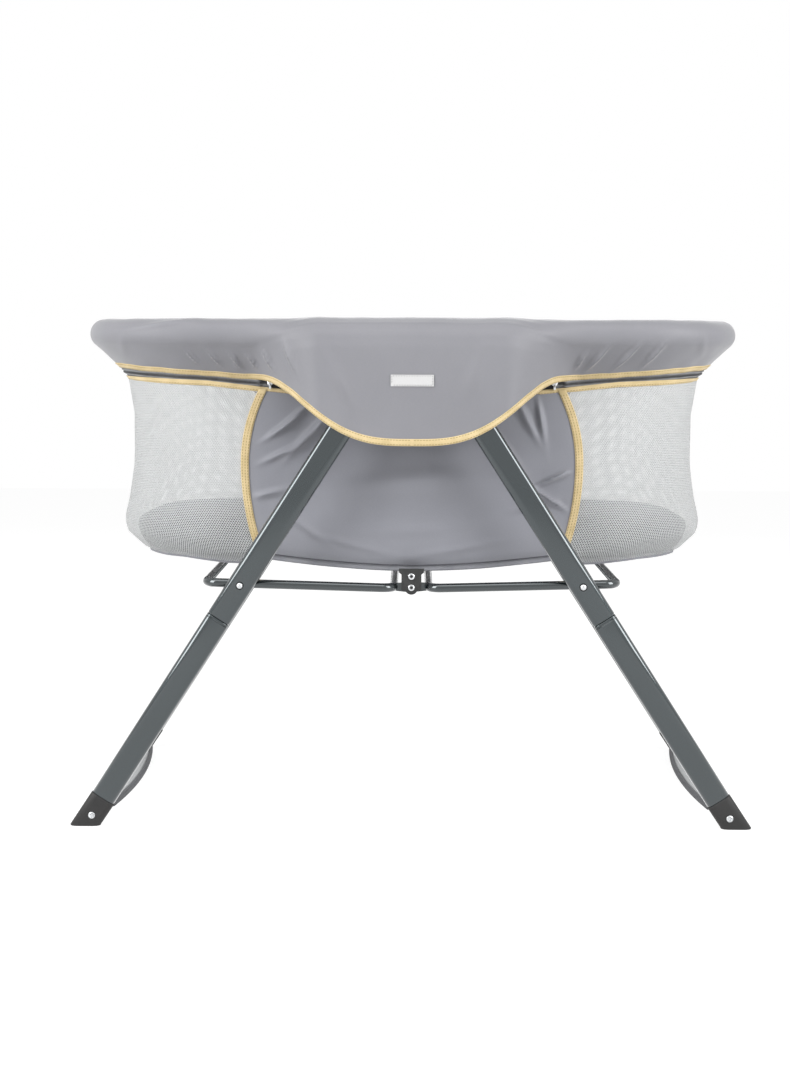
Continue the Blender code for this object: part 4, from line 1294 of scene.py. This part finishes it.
def foot_rings(side, row):
    """The foot: a soft top edge, straight sides and a sole with a small bevel, flat on the floor."""
    rings = [leg_ring(side, row, FOOT_TOP + s * MM, section(i * MM, FOOT_EXTRA))
             for s, i in ((-0.1, 1.6), (0.2, 0.7), (0.9, 0.15), (2.0, 0.0))]
    sole = leg_ring(side, row, 0, section(0, FOOT_EXTRA), floor=True)
    rings.append([(x, y, 1.2 * MM) for x, y, _ in sole])
    rings.append([(x - side * 0.4 * MM * np.sign(x * side - FOOT_MIDDLE),
                   y - row * 0.5 * MM * np.sign(y * row - LEG_Y), 0.0) for x, y, _ in sole])
    return rings


FOOT_MIDDLE = 0.4326                               # where the leg's centre line meets the floor
for row_label, row in ROWS:
    for label, side in SIDES:
        corner = f"{row_label}_{label}"
        body = f"{label}_legs"
        upper = leg_tube(f"{corner}_upper_tube", side, row, UPPER_STATIONS)
        piece(upper, body, f"{corner}_upper_leg", slot="leg_paint")
        lower = leg_tube(f"{corner}_lower_tube", side, row, LOWER_STATIONS)
        piece(lower, body, f"{corner}_lower_leg", slot="leg_paint")
        foot = solid(f"{corner}_foot_moulding", foot_rings(side, row), foot_plastic, sharp=50)
        piece(foot, body, f"{corner}_foot", slot="foot_plastic")
print("legs:", len(ROWS) * len(SIDES))

# %% [markdown]
# ## Rivets and bolts
# Tubular rivets are pressed over a washer, and each foot bolt sits in a moulded well. All are turned
# round an axis, so a short profile of distance and radius says everything about them.

# %% Rivets and bolts
def turned(name, x, z, row, stations, material, sides=28):
    """A round piece about an axis along Y: stations are (distance from the middle, radius)."""
    rings = [[(x + r * math.cos(t), row * y, z + r * math.sin(t))
              for t in np.linspace(0, 2 * math.pi, sides, endpoint=False)] for y, r in stations]
    return solid(name, rings, material)


def ring_rivet(name, x, z, row, face, radius, depth=1.3 * MM):
    """A tubular rivet: a bright rolled ring round a dark hole."""
    profile = [(face, radius), (face + depth * 0.6, radius), (face + depth, radius * 0.82),
               (face + depth, radius * 0.62), (face + depth * 0.5, radius * 0.45),
               (face + 0.1 * MM, radius * 0.42)]
    return turned(name, x, z, row, profile, zinc)


RIVET_X = 0.2255
RIVET_Z = LEG_PIVOT[2] + (RIVET_X - LEG_PIVOT[0]) / DOWN[0] * DOWN[1]
LEG_FACE = LEG_Y + LEG_DEPTH / 2
WASHER = [(LEG_FACE + 0.1 * MM, 0.0053), (LEG_FACE + 0.5 * MM, 0.0053), (LEG_FACE + 0.7 * MM, 0.0049),
          (LEG_FACE + 0.7 * MM, 0.0036)]
RIVET = [(LEG_Y - 0.0095, 0.003), (LEG_FACE, 0.003)] + [
    (LEG_FACE + 0.3 * MM + 0.0025 * math.sin(t), 0.0041 * math.cos(t)) for t in np.linspace(0, 1.45, 8)]
FOOT_FACE = LEG_FACE + FOOT_EXTRA / 2
WELL = [(FOOT_FACE - 1 * MM, 0.0058), (FOOT_FACE + 0.15 * MM, 0.0058), (FOOT_FACE + 0.25 * MM, 0.0054)]
for row_label, row in ROWS:
    for label, side in SIDES:
        corner = f"{row_label}_{label}"
        body = f"{label}_legs"
        washer = turned(f"{corner}_rivet_washer", side * RIVET_X, RIVET_Z, row, WASHER, dark_steel)
        piece(washer, body, slot="zinc")
        head = turned(f"{corner}_rivet_head", side * RIVET_X, RIVET_Z, row, RIVET, zinc)
        piece(head, body, f"{corner}_base_rivet", slot="zinc")
        bolt_at = side * FOOT_BOLT[0], FOOT_BOLT[2], row
        well = turned(f"{corner}_bolt_well", *bolt_at, WELL, black_plastic)
        piece(well, body, slot="black_plastic")
        bolt = ring_rivet(f"{corner}_bolt_head", *bolt_at, FOOT_FACE + 0.2 * MM, 0.0044, 1.6 * MM)
        piece(bolt, body, f"{corner}_foot_bolt", slot="zinc")
for key, obj in frame["nodes"].items():            # parts that keep their CAD shape
    if key.endswith("hub"):
        recolour(obj, black_plastic)
    elif key.endswith(("leg_pivot_bolt", "rail_pin")):
        recolour(obj, zinc)
for name, _ in SIDES:
    recolour(frame["nodes"][f"{name}_rail_tube"], rail_steel)
    recolour(frame["nodes"][f"{name}_rail_foam"], pad_foam)
print("rivet height:", round(RIVET_Z, 4))

# %% [markdown]
# ## Base loops and hinge
# Each half of the base is a bent tube loop that carries a mattress board, with lugs at its inner end. Two
# nylon brackets with rivets hold the loops together and let them fold. The loop is a ring of rings: a
# rounded rectangle in plan, with a round section set on every point of it.

# %% Base loops and hinge
LOOP_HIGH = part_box("right_base_loop")[1]
LOOP_RADIUS = 6.0 * MM
LOOP_INNER, LOOP_OUTER, LOOP_Y, LOOP_CORNER = 0.0235, 0.2725, LOOP_HIGH.y - LOOP_RADIUS, 0.0180
LOOP_TILT = math.atan2(RIVET_Z - HINGE_Z, RIVET_X)   # the loop rises from the hinge to the legs


def loop_point(side, u, y, lift=0.0):
    """A point on the tilted loop: u out from the hinge, y across, lift above its plane."""
    x = u * math.cos(LOOP_TILT) - lift * math.sin(LOOP_TILT)
    z = u * math.sin(LOOP_TILT) + lift * math.cos(LOOP_TILT)
    return (side * x, y, HINGE_Z + z)


for label, side in SIDES:
    middle, half = (LOOP_OUTER + LOOP_INNER) / 2, (LOOP_OUTER - LOOP_INNER) / 2
    rings = []
    for i, (sx, sy) in enumerate(((1, 1), (-1, 1), (-1, -1), (1, -1))):
        centre = (sx * (half - LOOP_CORNER), sy * (LOOP_Y - LOOP_CORNER))
        for angle in np.radians(np.linspace(90 * i, 90 * i + 90, 14)):
            n = (math.cos(angle), math.sin(angle))
            u, y = centre[0] + LOOP_CORNER * n[0], centre[1] + LOOP_CORNER * n[1]
            rings.append([loop_point(side, middle + u + LOOP_RADIUS * math.cos(t) * n[0],
                                     y + LOOP_RADIUS * math.cos(t) * n[1], LOOP_RADIUS * math.sin(t))
                          for t in np.linspace(0, 2 * math.pi, 24, endpoint=False)])
    bar = solid(f"{label}_loop_bar", rings, shaded_loop_paint, loop=True)
    parts = [bar]
    lug_y = (0.2155, 0.2187) if side < 0 else (0.2119, 0.2151)
    for row_label, row in ROWS:
        outline = [(LOOP_INNER, -0.005), (LOOP_INNER, 0.005)] + arc((0, 0), 0.0072, 70, 290, 14)
        near, far = lug_y
        edges = ((near, 0.96), (near + 0.3 * MM, 1), (far - 0.3 * MM, 1), (far, 0.96))
        rings = [[loop_point(side, a * k, row * y, b * k) for a, b in outline] for y, k in edges]
        parts.append(solid(f"{label}_{row_label}_lug", rings, shaded_loop_paint))
    bar = join(f"{label}_loop_bar", parts)
    piece(bar, f"{label}_base", f"{label}_base_loop", slot="leg_paint")

for row_label, row in ROWS:
    half, wing, step = 0.0133, 0.0168, 0.0195
    outline = [(-wing, 0.0255), (-wing, step + 0.001), (-wing + 0.001, step), (-half - 0.002, step),
               (-half, step - 0.002), (-half, -0.0035), (-half + 0.001, -0.0045), (-0.0088, -0.0045)]
    outline += arc((0, -0.0008), 0.0086, 183, 357, 18)
    outline += [(-a, b) for a, b in outline[7::-1]]
    rings = []
    for y, k in ((0.2190, 0.95), (0.2194, 1.0), (0.2216, 1.0), (0.2220, 0.95)):
        rings.append([(a * k, row * y, HINGE_Z + 0.009 + (b - 0.009) * k) for a, b in outline])
    plate = solid(f"{row_label}_bracket_plate", rings, black_plastic)
    piece(plate, "base_hinge", f"{row_label}_hinge_bracket", slot="black_plastic")
    for word, lift in (("hinge", 0.0), ("bracket", 0.0150)):
        collar = turned(f"{row_label}_{word}_collar", 0, HINGE_Z + lift, row,
                        [(0.2218, 0.0056), (0.2225, 0.0056), (0.2228, 0.0051)], black_plastic)
        piece(collar, "base_hinge", slot="black_plastic")
        rivet = ring_rivet(f"{row_label}_{word}_rivet_ring", 0, HINGE_Z + lift, row, 0.2226, 0.0041)
        piece(rivet, "base_hinge", f"{row_label}_{word}_rivet", slot="zinc")
recolour(frame["nodes"]["base_spine"], black_plastic)
print("loop tilt:", round(math.degrees(LOOP_TILT), 2), "degrees")

# %% [markdown]
# ## Rockers
# A shallow curved bar joins the two feet of each side, so the stand can rock. It is one moulding with an
# eye at each end and a rubber strip along its outer edge; both are rings swept along the same arc.

# %% Rockers
EYE_Y, SAG, BAR_WIDTH, BAR_HEIGHT = 0.2347, 0.0200, 0.018, 0.009
ARC_RADIUS = (EYE_Y ** 2 + SAG ** 2) / (2 * SAG)


def rocker_rings(side, reach, offset, profile, steps=48):
    """Rings of a profile along the rocker's arc, to a reach each way and offset out from its line."""
    rings = []
    sweep = math.asin(reach / ARC_RADIUS)
    for angle in np.linspace(-sweep, sweep, steps):
        ring = []
        for a, b in profile:
            distance = ARC_RADIUS + offset + a
            inward = distance * math.cos(angle) - (ARC_RADIUS - SAG)
            ring.append((side * (FOOT_BOLT[0] - inward), distance * math.sin(angle), FOOT_BOLT[2] + b))
        rings.append(ring)
    return rings


for label, side in SIDES:
    rings = rocker_rings(side, EYE_Y - 2 * MM, 0.0, rounded(BAR_WIDTH, BAR_HEIGHT, 2.2 * MM, 5))
    bar = solid(f"{label}_rocker_moulding", rings, rocker_plastic)
    parts = [bar]
    for row_label, row in ROWS:
        eye = [(0.2298, 0.0090), (0.2303, 0.0098), (0.2389, 0.0098), (0.2394, 0.0090)]
        parts.append(turned(f"{label}_{row_label}_eye", side * FOOT_BOLT[0], FOOT_BOLT[2], row, eye,
                            rocker_plastic))
    bar = join(f"{label}_rocker_moulding", parts)
    piece(bar, f"{label}_rocker", f"{label}_rocker_bar", slot="rocker_plastic")
    offset = BAR_WIDTH / 2 + 0.3 * MM + 2 * MM
    rings = rocker_rings(side, 0.190, offset, rounded(4 * MM, 8.8 * MM, 1.2 * MM, 4))
    tread = solid(f"{label}_tread_strip", rings, tread_rubber)
    piece(tread, f"{label}_rocker", f"{label}_rocker_tread", slot="tread_rubber")
print("rocker radius:", round(ARC_RADIUS, 3))


# %% [markdown]
# ## Zip sliders
# A slider is a small zinc casting: a body round the coil, a bridge and a flat pull. Three rounded blocks
# one in front of the other read as that at this size. It rides on the zip's own slide joint.

# %% Zip sliders
def zip_slider(name):
    """A small cast slider with a flat pull that hangs from its bridge."""
    low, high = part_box(f"{name}_zip_slider")
    line = zip_lines[name][0]
    x = (low.x + high.x) / 2
    k = int(np.argmin(np.abs(line[:len(line) // 3, 0] - x)))
    y, z = line[k][1], line[k][2] + 0.6 * MM
    shapes = ((0, 7.0, 6.4, 1.0, 4.2, 1.8), (0, 2.6, 4.6, 4.0, 5.6, 1.0), (-5.2, 3.2, 6.6, 4.6, 5.4, 1.2))
    parts = []
    for number, (drop, width, tall, near, far, corner) in enumerate(shapes):
        outline = rounded(width * MM, tall * MM, corner * MM, 4)
        rings = [[(x + a * scale, y - depth * MM, z + drop * MM + b * scale) for a, b in outline]
                 for depth, scale in ((near - 0.6, 0.9), (near, 1.0), (far - 0.3, 1.0), (far, 0.88))]
        parts.append(solid(f"{name}_slider_{number}", rings, zinc))
    return join(f"{name}_slider_casting", parts)


for label, side in SIDES:
    piece(zip_slider(label), f"{label}_zip", f"{label}_zip_slider", slot="zinc")
print("zip sliders:", len(SIDES))

# %% [markdown]
# ## Woven label
# A small blank label is sewn to the front flap. It is a thin satin shell laid on the cover's own points,
# so it curves with the flap, and a row of fine stitches runs round it.

# %% Label
LABEL_AT, LABEL_SIZE = (0.000, 0.5920), (56 * MM, 15 * MM)


def on_cover(x, z):
    """The point of the front of the cover nearest to (x, z), with the cover's normal there."""
    side = 1 if x >= 0 else -1
    grid, normal = covers["right" if side > 0 else "left"], cover_normals["right" if side > 0 else "left"]
    near = (grid[..., 1] < -0.22)
    gap = np.hypot(grid[..., 0] - x, grid[..., 2] - z) + np.where(near, 0, 9)
    k = np.unravel_index(np.argmin(gap), gap.shape)
    return np.array([x, grid[k][1], z]), normal[k]


xs = np.linspace(-0.5, 0.5, 17) * LABEL_SIZE[0] + LABEL_AT[0]
zs = np.linspace(-0.5, 0.5, 7) * LABEL_SIZE[1] + LABEL_AT[1]
patch = np.array([[on_cover(x, z)[0] for z in zs] for x in xs])
patch[..., 1] = patch[..., 1].mean() - 1.0 * MM
label_normal = facing_out(patch, normals_of(patch))
label = shell("front_label", patch, label_normal, 0.5 * MM, label_cloth)
piece(label, "hub", slot="grey_fabric")
reach_x, reach_z = LABEL_SIZE[0] / 2 - 1.5 * MM, LABEL_SIZE[1] / 2 - 1.5 * MM
edge = np.array([(a * reach_x + LABEL_AT[0], patch[0, 0, 1] - 0.15 * MM, b * reach_z + LABEL_AT[1])
                 for a, b in ((-1, -1), (1, -1), (1, 1), (-1, 1), (-1, -1))])
thread = copies_along("label_stitches", [(edge, np.tile([0.0, -1.0, 0.0], (5, 1)))], 3.4 * MM,
                      repeater("label_stitch", (2.4 * MM, 0.6 * MM, 0.5 * MM), thread_and_seam_shadow))
piece(thread, "hub", slot="grey_fabric")
print("label points:", patch.shape[:2])
